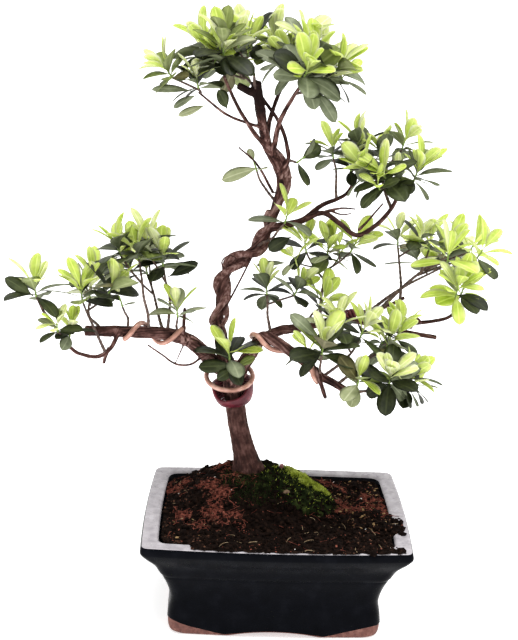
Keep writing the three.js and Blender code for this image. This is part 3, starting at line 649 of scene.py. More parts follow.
def bark_shade(points, calm, bend, **features):
    """From dark 0 to light 1 at each point: ridges are light, the strands carry a painted highlight,
    the bend and the foot take painted shade, and the dead top is dark.
    """
    zones = np.stack([np.ones(len(points)), calm, bend, smoothstep(points[:, 2], *PAINTED_FOOT_SHADE)], axis=1)
    features = {"all": 1, "strands": near_strands(points), **features}
    shade = sum(zones @ BARK_SHADE[name] * feature for name, feature in features.items())
    dead = smoothstep(np.linalg.norm(points - DEAD_TOP, axis=1), *DEAD_REACH)
    return (1 - DEAD_DARK * dead) * np.clip(shade, 0, 1)


def make_bark():
    shape = Shape(*trunk_tube())
    for strand in STRANDS:
        shape.add(*strand_tube(strand))
    others = [line for line in LINES.values() if line is not TRUNK] + [Line(*snag) for snag in SNAGS]
    for line in others:
        shape.add(*limb_tube(line))
    mesh = fused(shape.mesh("bark"), BARK_VOXEL)
    points = smoothed(mesh, BARK_SMOOTHINGS)
    set_points(mesh, points)
    furrows, knots, radii = bark_relief(points, [TRUNK, *others])
    calm = smoothstep(points[:, 2], *CALM_TRUNK)
    bend = smoothstep(points[:, 2], *BEND_START) * smoothstep(points[:, 2], *BEND_END)
    depth = np.minimum(RELIEF_SHARE * radii, RELIEF_MOST) * (1 - RELIEF_CALMED * (calm + bend))
    height = depth * (FURROW_RELIEF * furrows + KNOT_RELIEF * knots)
    set_points(mesh, points + vectors(mesh.vertex_normals, "vector") * height[:, None])
    # The bark's tone goes to its material, with the painted highlight and painted shade mixed in
    set_values(mesh, BARK_TONE_AND_LIGHT, bark_shade(points, calm, bend, furrows=furrows, knots=knots))
    add_piece("bark", mesh, [bark_look()], list(LIMBS))


# Training wire

WIRE_RADIUS = 1.5
WIRE_GAP = 0.3
WIRE_SIDES = 12
COIL_POINTS = 32
COILS = {
    "wire_left": {"limb": "left_bough", "start": 0.44, "end": 0.78, "turns": -1.42, "phase": 121},
    "wire_right": {"limb": "right_lower_bough", "start": 0.32, "end": 0.8, "turns": 1.37, "phase": -133},
}
FORK_CUP = {"limb": "trunk", "start": 0.203, "end": 0.258, "turns": 9, "phase": 90}
CUP_FLARE = 5.2
CUP_DIP = 9.5
CUP_FRONT = (0, 12)
THIN_WIRE = 1.0
FORK_RING = {"at": 0.278, "radius": 14, "tilt": 19}
RING_POINTS = 96
SLEEVES = [
    {"limb": "right_upper_bough", "start": 0.55, "end": 0.66, "turns": 4.5, "phase": 0},
    {"limb": "right_far_bough", "start": 0.42, "end": 0.66, "turns": 2.6, "phase": 40},
]


def coil_tube(coil, wire, flare=0.0, dip=0.0):
    """Wire wound round a limb. It can flare out like a bowl, with the bowl's rim lower at the front."""
    line = LINES[coil["limb"]]
    share = np.linspace(0, 1, int(abs(coil["turns"]) * COIL_POINTS))
    points = line.winding(coil, wire + WIRE_GAP + flare * np.sqrt(share * (2 - share)))
    ahead = line.at(lerp(coil["start"], coil["end"], share))[:, 1] - points[:, 1]
    points[:, 2] -= dip * share * smoothstep(ahead, *CUP_FRONT)
    return tube(points, np.full(len(points), wire), WIRE_SIDES)


def ring_tube():
    """The loose ring at the fork, which touches the trunk at its back and leans."""
    tilt = math.radians(FORK_RING["tilt"])
    forward = FORK_RING["radius"] - TRUNK.radius(FORK_RING["at"]) - WIRE_RADIUS - WIRE_GAP
    centre = TRUNK.at(FORK_RING["at"]) - [0, forward, 0]
    angles = round_angles(RING_POINTS)
    ahead = np.array([0, math.cos(tilt), math.sin(tilt)])
    outward = np.cos(angles)[:, None] * [1, 0, 0] + np.sin(angles)[:, None] * ahead
    lift = np.array([0, -math.sin(tilt), math.cos(tilt)])
    around = round_angles(WIRE_SIDES)[:, None]
    points = centre + outward[:, None] * (FORK_RING["radius"] + WIRE_RADIUS * np.cos(around))
    points = points + lift * WIRE_RADIUS * np.sin(around)
    grid = np.arange(RING_POINTS * WIRE_SIDES).reshape(RING_POINTS, WIRE_SIDES)
    after = np.roll(grid, -1, axis=0)
    quads = np.stack([grid, after, np.roll(after, -1, axis=1), np.roll(grid, -1, axis=1)], axis=-1)
    return points.reshape(-1, 3), quads.reshape(-1, 4)


def make_wires():
    copper = wire_look("copper_wire", 0.35, (0.3, 0.14, 0.1), (0.5, 0.26, 0.2), (0.68, 0.45, 0.37))
    red = wire_look("red_wire", 0.2, (0.05, 0.007, 0.011), (0.11, 0.012, 0.022), (0.22, 0.03, 0.045))
    for name, coil in COILS.items():
        add_piece(f"{name}_coil", Shape(*coil_tube(coil, WIRE_RADIUS)), [copper], [name])
    add_piece("wire_fork_ring", Shape(*ring_tube()), [copper], ["wire_fork"])
    cup = Shape(*coil_tube(FORK_CUP, THIN_WIRE, CUP_FLARE, CUP_DIP))
    add_piece("wire_fork_cup", cup, [red], ["wire_fork_red"])
    far = Shape()
    for sleeve in SLEEVES:
        far.add(*coil_tube(sleeve, THIN_WIRE))
    add_piece("wire_far", far, [red])


# Growth: the rule that the masses of leaves follow, with limits for what is drawn

GOLDEN_ANGLE = 137.5
FULL_TURN = (0, 360)
SHOOT_LENGTH = 6.5
LEAF_SINK = 0.25
DEEPEST_ROOT = 0.97
LEAN = 0.7
FIRST_SEED = 100
KNEE_DRAW = (-0.12, 0.12)
SPREAD_DRAW = (0.85, 1.15)
LIFT_DRAW = (0.6, 1.2)
FORK_DRAW = (0.15, 0.65)
SWAY_DRAW = (-0.3, 0.3)
BEARING_DRAW = (-12, 12)
ROLL_DRAW = (-14, 14)
ROSETTE = {
    "steepness": (4, 76), "sway": (-4, 4), "old": (0.95, 1.2), "young": (0.9, 1.15), "seats": (0.08, 0.92),
}

# Finer growth: further leaves on each full shoot, and side shoots where the crown is dense
FINE_SEED = 900
FURTHER = {
    "old": {"turn": 0, "steepness": (-26, 6), "length": (0.75, 1.0), "roll": (-25, 25), "seat": 0.02},
    "young": {"turn": 60, "steepness": (18, 80), "length": (0.75, 1.05), "roll": (-20, 20), "seat": 0.97},
}
MORE = {
    "left_tip": (2, 3), "left_far": (1, 3), "left_mid": (1, 2), "left_inner": (2, 2), "left_back_far": (0, 1),
    "left_back_near": (0, 0), "top_side": (2, 3), "top_left": (3, 4), "top_peak": (2, 4), "top_mid": (2, 4),
    "top_right": (3, 4), "top_back_left": (1, 2), "top_back_right": (1, 2), "upper_right": (3, 5),
    "centre_left": (3, 2), "centre_high": (2, 3), "front": (3, 3), "front_right": (2, 4), "lower_mid": (3, 4),
    "lower_right": (3, 3), "right_high": (1, 5), "right_low": (2, 5),
}
USUAL_MORE = (1, 2)
FULL_SHOOT = 3
DENSE = {
    "top_left", "top_peak", "top_mid", "top_right", "upper_right", "right_high", "right_low", "centre_high",
    "front_right", "lower_mid", "front", "lower_right",
}
SIDE_SHOOT_SHARE = 0.55
SIDE_FORK_DRAW = (0.45, 0.8)
SIDE_REACH_DRAW = (0.45, 0.75)
SIDE_DROP_DRAW = (1, 5)
SIDE_LENGTH = 0.6
SIDE_OLD = 2
SIDE_YOUNG = 3
SIDE_ROSETTE = {
    "steepness": (0, 70), "sway": (-8, 8), "old": (0.55, 0.8), "young": (0.55, 0.8), "seats": (0, 1),
}

# Twigs: radii at the root and the tip
STEM_RADIUS = 0.95
STEM_GROWTH = 0.08
BRANCH_RADIUS = 0.7
TWIG_TIP = 0.6
SHOOT_RADII = (0.62, 0.4)
SIDE_TWIG_RADII = (0.55, 0.45)
SIDE_SHOOT_RADII = (0.45, 0.35)
TWIG_WANDER = 0.05
TWIG_SIDES = 7
TWIG_POINTS_A_MM = 0.7
FEWEST_TWIG_POINTS = 5
NODE_SWELL = 0.12
NODE_RATE = 1.9

# Masses: the limb, the place along it, the tip, and where the habit differs from the usual one
USUAL = {"shoots": 1, "spread": 12, "turn": 0, "lift": 4, "leaf": 20, "old": 5, "young": 3}
MASSES = [
    ("left_tip", "left_low_branch", 1, (-139, -18, 196), {"tints": {"old": "dark", "young": "fresh"}}),
    ("left_low", "left_low_branch", 0.62, (-121, -16, 173),
     {"shoots": 2, "spread": 8.5, "turn": 230, "leaf": 13, "old": 3, "young": 4}),
    ("left_far", "left_low_branch", 0.24, (-115, -6, 191),
     {"shoots": 2, "spread": 13, "turn": 10, "lift": 2, "leaf": 21,
      "tints": {"old": "deep", "young": "fresh"}}),
    ("left_bud", "left_bough", 0.76, (-93, 2, 186), {"leaf": 9, "old": 2, "young": 1}),
    ("left_mid", "left_bough", 0.64, (-84, 8, 213),
     {"shoots": 2, "spread": 12, "turn": 150, "lift": 0, "tints": {"old": "dark", "young": "fresh"}}),
    ("left_inner", "left_bough", 0.53, (-70, 12, 208),
     {"shoots": 2, "spread": 11, "turn": 140, "lift": 6, "leaf": 21, "tints": {"old": "deep"}}),
    ("left_near", "left_bough", 0.46, (-61, 4, 180), {"leaf": 17}),
    ("left_back_far", "left_bough", 0.9, (-116, 35, 181), {"shoots": 2, "spread": 13, "turn": 95}),
    ("left_back_near", "left_bough", 0.55, (-82, 42, 195), {"shoots": 3, "spread": 13, "turn": 90}),
    ("top_side", "crown_side_bough", 1, (-51, 11, 311),
     {"shoots": 2, "spread": 14, "turn": 185, "lift": 8, "leaf": 17, "old": 6}),
    ("top_left", "crown_left_bough", 1, (-38, 12, 323),
     {"shoots": 3, "spread": 9, "turn": 140, "lift": 6, "leaf": 21, "old": 4, "young": 4}),
    ("top_peak", "trunk", 1, (-29, 24, 331),
     {"shoots": 2, "spread": 11, "turn": 60, "lift": -4, "leaf": 21, "old": 2, "young": 5}),
    ("top_mid", "crown_mid_bough", 1, (-8, 44, 331),
     {"shoots": 3, "spread": 14, "turn": 200, "lift": 2, "leaf": 21, "old": 3, "young": 4}),
    ("top_right", "crown_right_bough", 1, (10, 16, 323),
     {"shoots": 4, "spread": 14, "turn": -15, "lift": -4, "leaf": 22,
      "tints": {"old": "grey", "young": "fresh"}}),
    ("top_under", "crown_right_bough", 0.85, (14, 12, 312), {"young": 1, "tints": {"old": "dark"}}),
    ("top_back_left", "trunk", 0.93, (-33, 60, 318), {"shoots": 3, "spread": 15, "turn": 100}),
    ("top_back_right", "crown_mid_bough", 0.85, (8, 66, 318), {"shoots": 3, "spread": 15, "turn": 40}),
    ("trunk_tuft", "second_stem", 0.2, (6, 25, 269), {"leaf": 15, "old": 3, "young": 0}),
    ("side_twig", "trunk", 0.72, (-17, 27, 263), {"leaf": 9, "old": 2, "young": 0, "tint": "dull"}),
    ("upper_small", "upper_right_branch", 0.62, (28, 38, 270), {"leaf": 16}),
    ("upper_dark", "upper_right_branch", 1, (39, 44, 262),
     {"shoots": 2, "spread": 12, "turn": 60, "leaf": 16, "young": 1, "tints": {"old": "deep"}}),
    ("upper_right", "upper_right_bough", 1, (58, 13, 260),
     {"shoots": 3, "spread": 14, "turn": 5, "lift": 3, "tints": {"old": "dark", "young": "fresh"}}),
    ("upper_back", "upper_right_bough", 0.9, (57, 38, 268),
     {"shoots": 3, "spread": 13, "turn": 30, "lift": 8, "leaf": 18}),
    ("trunk_front", "trunk", 0.6, (0, 20, 234), {"leaf": 19, "old": 2, "young": 4}),
    ("fork_tuft", "trunk", 0.27, (-30, 11, 151), {"leaf": 21}),
    ("centre_left", "right_upper_bough", 0.06, (-9, 18, 191),
     {"shoots": 2, "spread": 16, "turn": -10, "lift": 1, "leaf": 17, "tints": {"old": "deep"}}),
    ("centre_high", "right_upper_bough", 0.42, (27, 32, 211),
     {"shoots": 3, "spread": 14, "turn": 190, "lift": 6, "leaf": 19, "old": 3, "young": 4,
      "tints": {"young": "fresh"}}),
    ("centre_front", "right_upper_bough", 0.33, (22, 18, 183), {"old": 3, "young": 5}),
    ("front", "right_lower_bough", 0.78, (22, -26, 169),
     {"leaf": 22, "old": 6, "young": 2, "tints": {"old": "dark"}}),
    ("front_right", "right_lower_bough", 0.8, (45, -8, 174),
     {"shoots": 2, "spread": 12, "turn": 180, "leaf": 19, "old": 3, "young": 5}),
    ("lower_mid", "right_lower_bough", 0.89, (61, -4, 166),
     {"shoots": 2, "spread": 13, "turn": 60, "old": 3, "young": 5,
      "tints": {"old": "deep", "young": "fresh"}}),
    ("lower_tip", "right_lower_bough", 1, (43, -26, 151), {"leaf": 17, "young": 1}),
    ("lower_right", "right_lower_bough", 0.96, (70, -14, 148),
     {"shoots": 2, "spread": 13, "turn": 230, "old": 6, "tints": {"old": "deep"}}),
    ("right_left", "right_upper_bough", 1, (71, 50, 216),
     {"shoots": 2, "spread": 12, "turn": -20, "lift": 2, "leaf": 17, "old": 4, "tints": {"old": "dark"}}),
    ("right_high", "right_upper_bough", 0.84, (100, 37, 213),
     {"shoots": 5, "spread": 16, "turn": -15, "lift": 0, "old": 2, "young": 4, "tint": "fresh"}),
    ("right_low", "right_far_bough", 1, (107, 26, 191),
     {"shoots": 2, "spread": 13, "turn": 250, "old": 3, "young": 5, "tint": "fresh"}),
    ("right_back", "right_upper_bough", 0.76, (103, 76, 196), {"shoots": 3, "spread": 15, "turn": 60}),
]

# Lone leaves: the tint, the root, the tip, and the width as a share of the length
# Some lone leaves take the painted sheen tint, pale where white light glances off them
LONE_LEAVES = [
    ("dull", (-15.8, 27, 265), (-38.4, 24, 260), 0.36),
    ("grey", (-54.6, 11, 309.5), (-76.5, 6, 313.7), 0.24),
    ("grey", (-51.8, 11, 307.4), (-66, 7, 302.5), 0.3),
    ("dull", (-46.8, 14, 301.7), (-62.2, 9, 296.8), 0.3),
    ("dark", (-35, 18, 299.4), (-38.5, 12, 309.9), 0.62),
    ("deep", (4.1, 21, 225.8), (-8.8, 14, 220.4), 0.55),
    ("dark", (-140.8, -18, 196.5), (-154.7, -22, 208.1), 0.42),
    ("deep", (-67.2, 10, 202.4), (-50.3, 6, 212.8), 0.36),
    ("grey", (19, -24, 178.1), (4.5, -24, 192.3), 0.4),
    ("grey", (2.9, 22, 209.8), (-16.1, 20, 210.4), 0.2),
    ("grey", (13.5, 12, 312), (27.4, 8, 295.6), 0.4),
    ("dark", (-27.4, 10, 148.8), (-48.1, 4, 150.5), 0.42),
    ("dark", (-26.8, 8, 148.2), (-37.2, 2, 143.1), 0.55),
    ("deep", (-28.1, 12, 150), (-37.4, 14, 163.8), 0.5),
    ("middle", (-25.6, 12, 148.1), (-15.7, 10, 155), 0.45),
]
LONE_FACING = np.array([0.1, -0.8, 0.6])


def across(axis):
    """Two directions across an axis, the first one level."""
    side = np.cross(UP, axis)
    if np.linalg.norm(side) < 0.05:
        side = np.array([1.0, 0, 0])
    side = unit(side)
    return side, np.cross(axis, side)


def offset(bearing, distance, rise):
    """A step over the ground with a rise."""
    return np.array([distance * math.cos(bearing), distance * math.sin(bearing), rise])


def skeleton(row, limb, at, tip, draw):
    """The bare frame of a mass: a stem with a knee, and shoots that fork from its upper half."""
    tip = np.array(tip, float)
    root = LINES[limb].at(min(at, DEEPEST_ROOT))
    run = tip - root
    reach = np.linalg.norm(run)
    sideways, upright = across(run / reach)
    knee = root + 0.5 * run + sideways * reach * draw(KNEE_DRAW)
    knee = knee + upright * reach * draw(KNEE_DRAW)
    shoots = [{"fork": knee, "base": tip, "course": [root, knee, tip]}]
    for k in range(1, row["shoots"]):
        bearing = math.radians(row["turn"] + (k - 1) * GOLDEN_ANGLE)
        distance = row["spread"] * draw(SPREAD_DRAW)
        base = tip + offset(bearing, distance, row["lift"] * draw(LIFT_DRAW))
        fork = lerp(knee, tip, draw(FORK_DRAW))
        shoots.append({"fork": fork, "base": base, "course": [fork, base]})
    for shoot in shoots:
        lean = unit(shoot["base"] - shoot["fork"])
        sway = np.array([draw(SWAY_DRAW), draw(SWAY_DRAW), 0])
        shoot["axis"] = unit(UP + LEAN * lean + sway)
        shoot["end"] = shoot["base"] + shoot["axis"] * SHOOT_LENGTH
    return shoots


def side_shoot(row, fine, shoot):
    """A short side twig below a shoot, for a small rosette of its own."""
    bearing = math.radians(fine(FULL_TURN))
    fork = lerp(shoot["fork"], shoot["base"], fine(SIDE_FORK_DRAW))
    reach = row["spread"] * fine(SIDE_REACH_DRAW)
    base = shoot["base"] + offset(bearing, reach, -fine(SIDE_DROP_DRAW))
    axis = unit(UP + LEAN * unit(base - fork))
    end = base + axis * SHOOT_LENGTH * SIDE_LENGTH
    return {"base": base, "axis": axis, "end": end, "course": [fork, base]}


def leaf_at(root, along, side, length, age):
    """One leaf: its root, the directions along, across and out of its face, its length and its age."""
    face = np.cross(along, side)
    return {"root": root, "along": along, "side": side, "face": face, "length": length, "age": age}


def shoot_leaf(shoot, bearing, steepness, roll, seat, length, age):
    """A leaf on a shoot, from its bearing round the shoot, its steepness and its roll in degrees."""
    bearing, steepness, roll = (math.radians(angle) for angle in (bearing, steepness, roll))
    east, north = across(shoot["axis"])
    radial = east * math.cos(bearing) + north * math.sin(bearing)
    along = radial * math.cos(steepness) + shoot["axis"] * math.sin(steepness)
    side = unit(turned(np.cross(shoot["axis"], radial), along, roll))
    return leaf_at(lerp(shoot["base"], shoot["end"], seat) - along * LEAF_SINK, along, side, length, age)


def rosette(shoot, draw, old, young, size, rule):
    """Leaves wind up a shoot: broad old ones spread below, and young ones stand up in the middle."""
    count = old + young
    start = draw(FULL_TURN)
    leaves = []
    for k in range(count):
        climb = k / (count - 1)
        age = "old" if k < old else "young"
        bearing = start + k * GOLDEN_ANGLE + draw(BEARING_DRAW)
        steepness = lerp(*rule["steepness"], climb) + draw(rule["sway"])
        length = size * draw(rule[age])
        roll = draw(ROLL_DRAW)
        leaves.append(shoot_leaf(shoot, bearing, steepness, roll, lerp(*rule["seats"], climb), length, age))
    return leaves


def more_leaves(row, fine, shoot):
    """Further leaves on a shoot: some below that hang a little, and small ones round the bud."""
    start = fine(FULL_TURN)
    leaves = []
    for count, (age, rule) in zip(MORE.get(row["name"], USUAL_MORE), FURTHER.items()):
        for k in range(count):
            bearing = start + rule["turn"] + k * GOLDEN_ANGLE
            steepness = fine(rule["steepness"])
            length = row["leaf"] * fine(rule["length"])
            roll = fine(rule["roll"])
            leaves.append(shoot_leaf(shoot, bearing, steepness, roll, rule["seat"], length, age))
    return leaves


def lone_leaves():
    """Leaves that hang apart from the sprays, with their faces to the front."""
    leaves = []
    for tint, root, tip, width in LONE_LEAVES:
        run = np.subtract(tip, root)
        length = np.linalg.norm(run)
        lone = leaf_at(np.array(root, float), run / length, unit(np.cross(LONE_FACING, run)), length, "old")
        dress([lone], {"tint": tint}, Draws(FINE_SEED + len(MASSES) + len(leaves)))
        leaves.append({**lone, "tint": tint, "width": width * length})
    return leaves


def add_twig(shape, course, radii, fine):
    """A thin round twig with a slight wander, from inside what carries it."""
    points = [course[0]]
    for start, end in zip(course[:-1], course[1:]):
        length = np.linalg.norm(end - start)
        sideways, upright = across((end - start) / length)
        wander = (-TWIG_WANDER * length, TWIG_WANDER * length)
        points += [lerp(start, end, 0.5) + sideways * fine(wander) + upright * fine(wander), end]
    line = Line(radii, points)
    along = np.linspace(0, 1, max(FEWEST_TWIG_POINTS, int(line.length * TWIG_POINTS_A_MM)))
    swell = 1 + NODE_SWELL * np.sin(along * line.length * NODE_RATE)
    shape.add(*tube(line.at(along), line.radius(along) * swell, TWIG_SIDES))


# Leaves stay clear of the limbs and of the ring at the fork

LIMB_PLACES = 120
TRUNK_CLEARANCE = 2.0
RING_CLEARANCE = 3.5
LEAF_CLEARANCE = 0.6
LEAF_PLACES = (0.45, 0.7, 1.0)


def limb_bars():
    """Places along every limb and the ring, with the radius to keep clear of."""
    share = np.linspace(0, 1, LIMB_PLACES)
    spots = [line.at(share) for line in LINES.values()]
    radii = [line.radius(share) + (TRUNK_CLEARANCE if line is TRUNK else 0.0) for line in LINES.values()]
    ring = ring_tube()[0]
    return np.concatenate([*spots, ring]), np.concatenate([*radii, np.full(len(ring), RING_CLEARANCE)])


def is_clear(leaf, bars):
    spots, radii = bars
    places = [leaf["root"] + leaf["along"] * leaf["length"] * share for share in LEAF_PLACES]
    return all(np.all(np.linalg.norm(spots - place, axis=1) >= radii + LEAF_CLEARANCE) for place in places)


# Leaf tints: dark, middle and light tones of the upper side and of the underside

TINTS = {
    "deep": ((0.006, 0.009, 0.0025), (0.014, 0.019, 0.005), (0.036, 0.043, 0.016)),
    "dark": ((0.018, 0.025, 0.006), (0.035, 0.046, 0.012), (0.07, 0.085, 0.03)),
    "grey": ((0.1, 0.118, 0.062), (0.165, 0.19, 0.108), (0.27, 0.3, 0.19)),
    "middle": ((0.085, 0.112, 0.02), (0.15, 0.19, 0.04), (0.25, 0.3, 0.09)),
    # A pale grey-green tint paints the sheen of white light off glossy old leaves
    "dull": ((0.24, 0.27, 0.13), (0.34, 0.37, 0.2), (0.46, 0.48, 0.3)),
    "fresh": ((0.33, 0.435, 0.05), (0.455, 0.565, 0.105), (0.585, 0.69, 0.22)),
    "pale": ((0.47, 0.55, 0.17), (0.6, 0.67, 0.27), (0.73, 0.785, 0.45)),
    "bronze": ((0.05, 0.046, 0.014), (0.1, 0.09, 0.03), (0.18, 0.165, 0.07)),
}
UNDERSIDES = {
    "deep": ((0.06, 0.075, 0.036), (0.1, 0.12, 0.06), (0.17, 0.19, 0.11)),
    "dark": ((0.075, 0.09, 0.042), (0.125, 0.145, 0.072), (0.2, 0.22, 0.13)),
    "grey": ((0.13, 0.15, 0.085), (0.21, 0.235, 0.145), (0.31, 0.335, 0.22)),
    "middle": ((0.15, 0.185, 0.06), (0.23, 0.27, 0.1), (0.32, 0.36, 0.17)),
    # The underside that goes with the painted sheen tint
    "dull": ((0.27, 0.3, 0.17), (0.37, 0.4, 0.24), (0.48, 0.5, 0.33)),
    "fresh": ((0.37, 0.465, 0.08), (0.48, 0.585, 0.145), (0.6, 0.695, 0.26)),
    "pale": ((0.49, 0.57, 0.2), (0.61, 0.68, 0.3), (0.73, 0.785, 0.47)),
    "bronze": ((0.1, 0.095, 0.05), (0.16, 0.15, 0.08), (0.24, 0.22, 0.13)),
}
SHOOT_TINT = ((0.13, 0.2, 0.04), (0.22, 0.33, 0.07), (0.33, 0.46, 0.13))
GLOSSY = ("deep", "dark", "bronze")
GLOWING = ("fresh", "pale")
GLOW = 0.6
GLOSSY_ROUGHNESS = (0.42, 0.6)
LEAF_ROUGHNESS = (0.5, 0.68)
UNDER_ROUGHNESS = (0.6, 0.8)
SHOOT_ROUGHNESS = (0.4, 0.6)

# How tints are dealt out by age, up to a share each, and how many leaves have a tint of their own
TINT_SHARES = {
    "old": [(0.36, "deep"), (0.62, "dark"), (0.72, "grey"), (0.84, "dull"), (0.94, "middle"), (1, "bronze")],
    "young": [(0.46, "fresh"), (0.95, "pale"), (1, "middle")],
}
ODD_SHARE = 0.3

# Leaf outline: rows and columns of points, and by age the width, bend in radians, fold and stalk
LEAF_ROWS = np.array([0, 0.07, 0.15, 0.28, 0.42, 0.56, 0.7, 0.83, 0.93, 1])
LEAF_COLUMNS = np.array([-1, -0.5, 0, 0.5, 1])
LEAF_THICKNESS = 0.34
RIB_GROOVE = 0.12
FOLD_POWER = 1.5
BASE_POWER = 0.9
TIP_POWER = 0.62
WIDEST = BASE_POWER / (BASE_POWER + TIP_POWER)
PETIOLE_WIDTH = 0.09
TIP_WIDTH = 0.03
LEAF_WIDTHS = {"old": (0.46, 0.6), "young": (0.35, 0.45)}
LEAF_BENDS = {"old": (0.15, 0.75), "young": (0.1, 0.6)}
LEAF_FOLDS = {"old": (0.02, 0.3), "young": (0.1, 0.35)}
PETIOLES = {"old": 0.09, "young": 0.2}


def leaf_points(leaves):
    """Points of all leaves, upper side first, with a fold along the middle and a bend along the length."""
    def gathered(*keys):
        return (np.array([leaf[key] for leaf in leaves]).reshape(len(leaves), 1, 1, -1) for key in keys)

    root, along, side, face = gathered("root", "along", "side", "face")
    length, width, bend, fold, petiole = gathered("length", "width", "bend", "fold", "petiole")
    t = LEAF_ROWS[:, None, None]
    u = LEAF_COLUMNS[:, None]
    blade = np.clip((t - petiole) / (1 - petiole), 0, 1)
    swell = (blade / WIDEST)**BASE_POWER * ((1 - blade) / (1 - WIDEST))**TIP_POWER
    half = width / 2 * np.maximum(swell, np.where(t < 0.5, PETIOLE_WIDTH, TIP_WIDTH))
    turn = bend * t
    middle = root + (along * np.sin(turn) - face * (1 - np.cos(turn))) * length / bend
    out = along * np.sin(turn) + face * np.cos(turn)
    rise = fold * half * np.abs(u)**FOLD_POWER - np.where(u == 0, RIB_GROOVE, 0)
    thick = LEAF_THICKNESS / 2 * (1 - u**2)
    spread = middle + side * u * half
    return spread + out * (rise + thick), spread + out * (rise - thick)


def leaf_faces():
    """Quads of one leaf: the upper side and the lower side, which share the outline."""
    rows, columns = len(LEAF_ROWS), len(LEAF_COLUMNS)
    upper = np.arange(rows * columns).reshape(rows, columns)
    lower = upper.copy()
    inner = (rows - 2) * (columns - 2)
    lower[1:-1, 1:-1] = rows * columns + np.arange(inner).reshape(rows - 2, columns - 2)

    def quads(grid):
        return np.stack([grid[:-1, :-1], grid[:-1, 1:], grid[1:, 1:], grid[1:, :-1]], axis=-1).reshape(-1, 4)

    return quads(upper), quads(lower)[:, ::-1]


def leaf_ribs(count):
    """One value a point: 1 along the middle rib of each leaf, falling to 0 half way to its edges."""
    fall = np.clip(1 - 2 * np.abs(LEAF_COLUMNS), 0, 1)
    upper = np.tile(fall, len(LEAF_ROWS))
    lower = np.tile(fall[1:-1], len(LEAF_ROWS) - 2)
    return np.tile(np.concatenate([upper, lower]), count)


def leaf_shape(leaves):
    upper, lower = leaf_points(leaves)
    sides = upper, lower[:, 1:-1, 1:-1]
    points = np.concatenate([side.reshape(len(leaves), -1, 3) for side in sides], axis=1)
    starts = (np.arange(len(leaves)) * points.shape[1])[:, None, None]
    top, under = leaf_faces()
    shape = Shape(points.reshape(-1, 3), (starts + top).reshape(-1, 4))
    shape.add_faces((starts + under).reshape(-1, 4), 1)
    shape.values[RIB] = leaf_ribs(len(leaves))
    return shape


def tint_of(share, age):
    return next(tint for limit, tint in TINT_SHARES[age] if share < limit)


def dress(spray, row, fine):
    """Deals out the tint, width, bend and fold of the leaves of one spray."""
    usual = {age: row.get("tint") or tint_of(fine((0, 1)), age) for age in TINT_SHARES}
    usual.update(row.get("tints", {}))
    for leaf in spray:
        age = leaf["age"]
        odd = fine((0, 1)) / ODD_SHARE
        leaf["tint"] = tint_of(odd, age) if odd < 1 else usual[age]
        leaf["width"] = leaf["length"] * fine(LEAF_WIDTHS[age])
        leaf["bend"] = fine(LEAF_BENDS[age])
        leaf["fold"] = fine(LEAF_FOLDS[age])
        leaf["petiole"] = PETIOLES[age]


def grow():
    """All twigs, green shoots and leaves of the crown."""
    twigs, shoots, leaves = Shape(), Shape(), []
    bars = limb_bars()
    for index, (name, limb, at, tip, habit) in enumerate(MASSES):
        row = {**USUAL, **habit, "name": name}
        draw = Draws(FIRST_SEED + index)
        fine = Draws(FINE_SEED + index)
        stem_radius = STEM_RADIUS + STEM_GROWTH * (row["shoots"] - 1)
        is_full = row["old"] >= FULL_SHOOT and row["young"] > 0
        for k, shoot in enumerate(skeleton(row, limb, at, tip, draw)):
            add_twig(twigs, shoot["course"], (BRANCH_RADIUS if k else stem_radius, TWIG_TIP), fine)
            add_twig(shoots, [shoot["base"], shoot["end"]], SHOOT_RADII, fine)
            sprays = [rosette(shoot, draw, row["old"], row["young"], row["leaf"], ROSETTE)]
            if is_full:
                sprays[0] += more_leaves(row, fine, shoot)
            if is_full and name in DENSE and fine((0, 1)) < SIDE_SHOOT_SHARE:
                side = side_shoot(row, fine, shoot)
                add_twig(twigs, side["course"], SIDE_TWIG_RADII, fine)
                add_twig(shoots, [side["base"], side["end"]], SIDE_SHOOT_RADII, fine)
                sprays.append(rosette(side, fine, SIDE_OLD, SIDE_YOUNG, row["leaf"], SIDE_ROSETTE))
            for spray in sprays:
                dress(spray, row, fine)
                leaves += [leaf for leaf in spray if is_clear(leaf, bars)]
    return twigs, shoots, leaves + lone_leaves()


def make_crown():
    twigs, shoots, leaves = grow()
    add_piece("twigs", twigs, [twig_look()], [mass[0] for mass in MASSES])
    add_piece("shoots", shoots, [leaf_look("shoot_green", SHOOT_TINT, SHOOT_ROUGHNESS)])
    for tint in TINTS:
        glow = GLOW if tint in GLOWING else 0.0
        roughness = GLOSSY_ROUGHNESS if tint in GLOSSY else LEAF_ROUGHNESS
        upper = leaf_look(f"leaf_{tint}", TINTS[tint], roughness, glow)
        under = leaf_look(f"leaf_{tint}_under", UNDERSIDES[tint], UNDER_ROUGHNESS, glow)
        group = [leaf for leaf in leaves if leaf["tint"] == tint]
        add_piece(f"leaves_{tint}", leaf_shape(group), [upper, under])


# Pot: how far each level of its wall lies inside the rim's outline

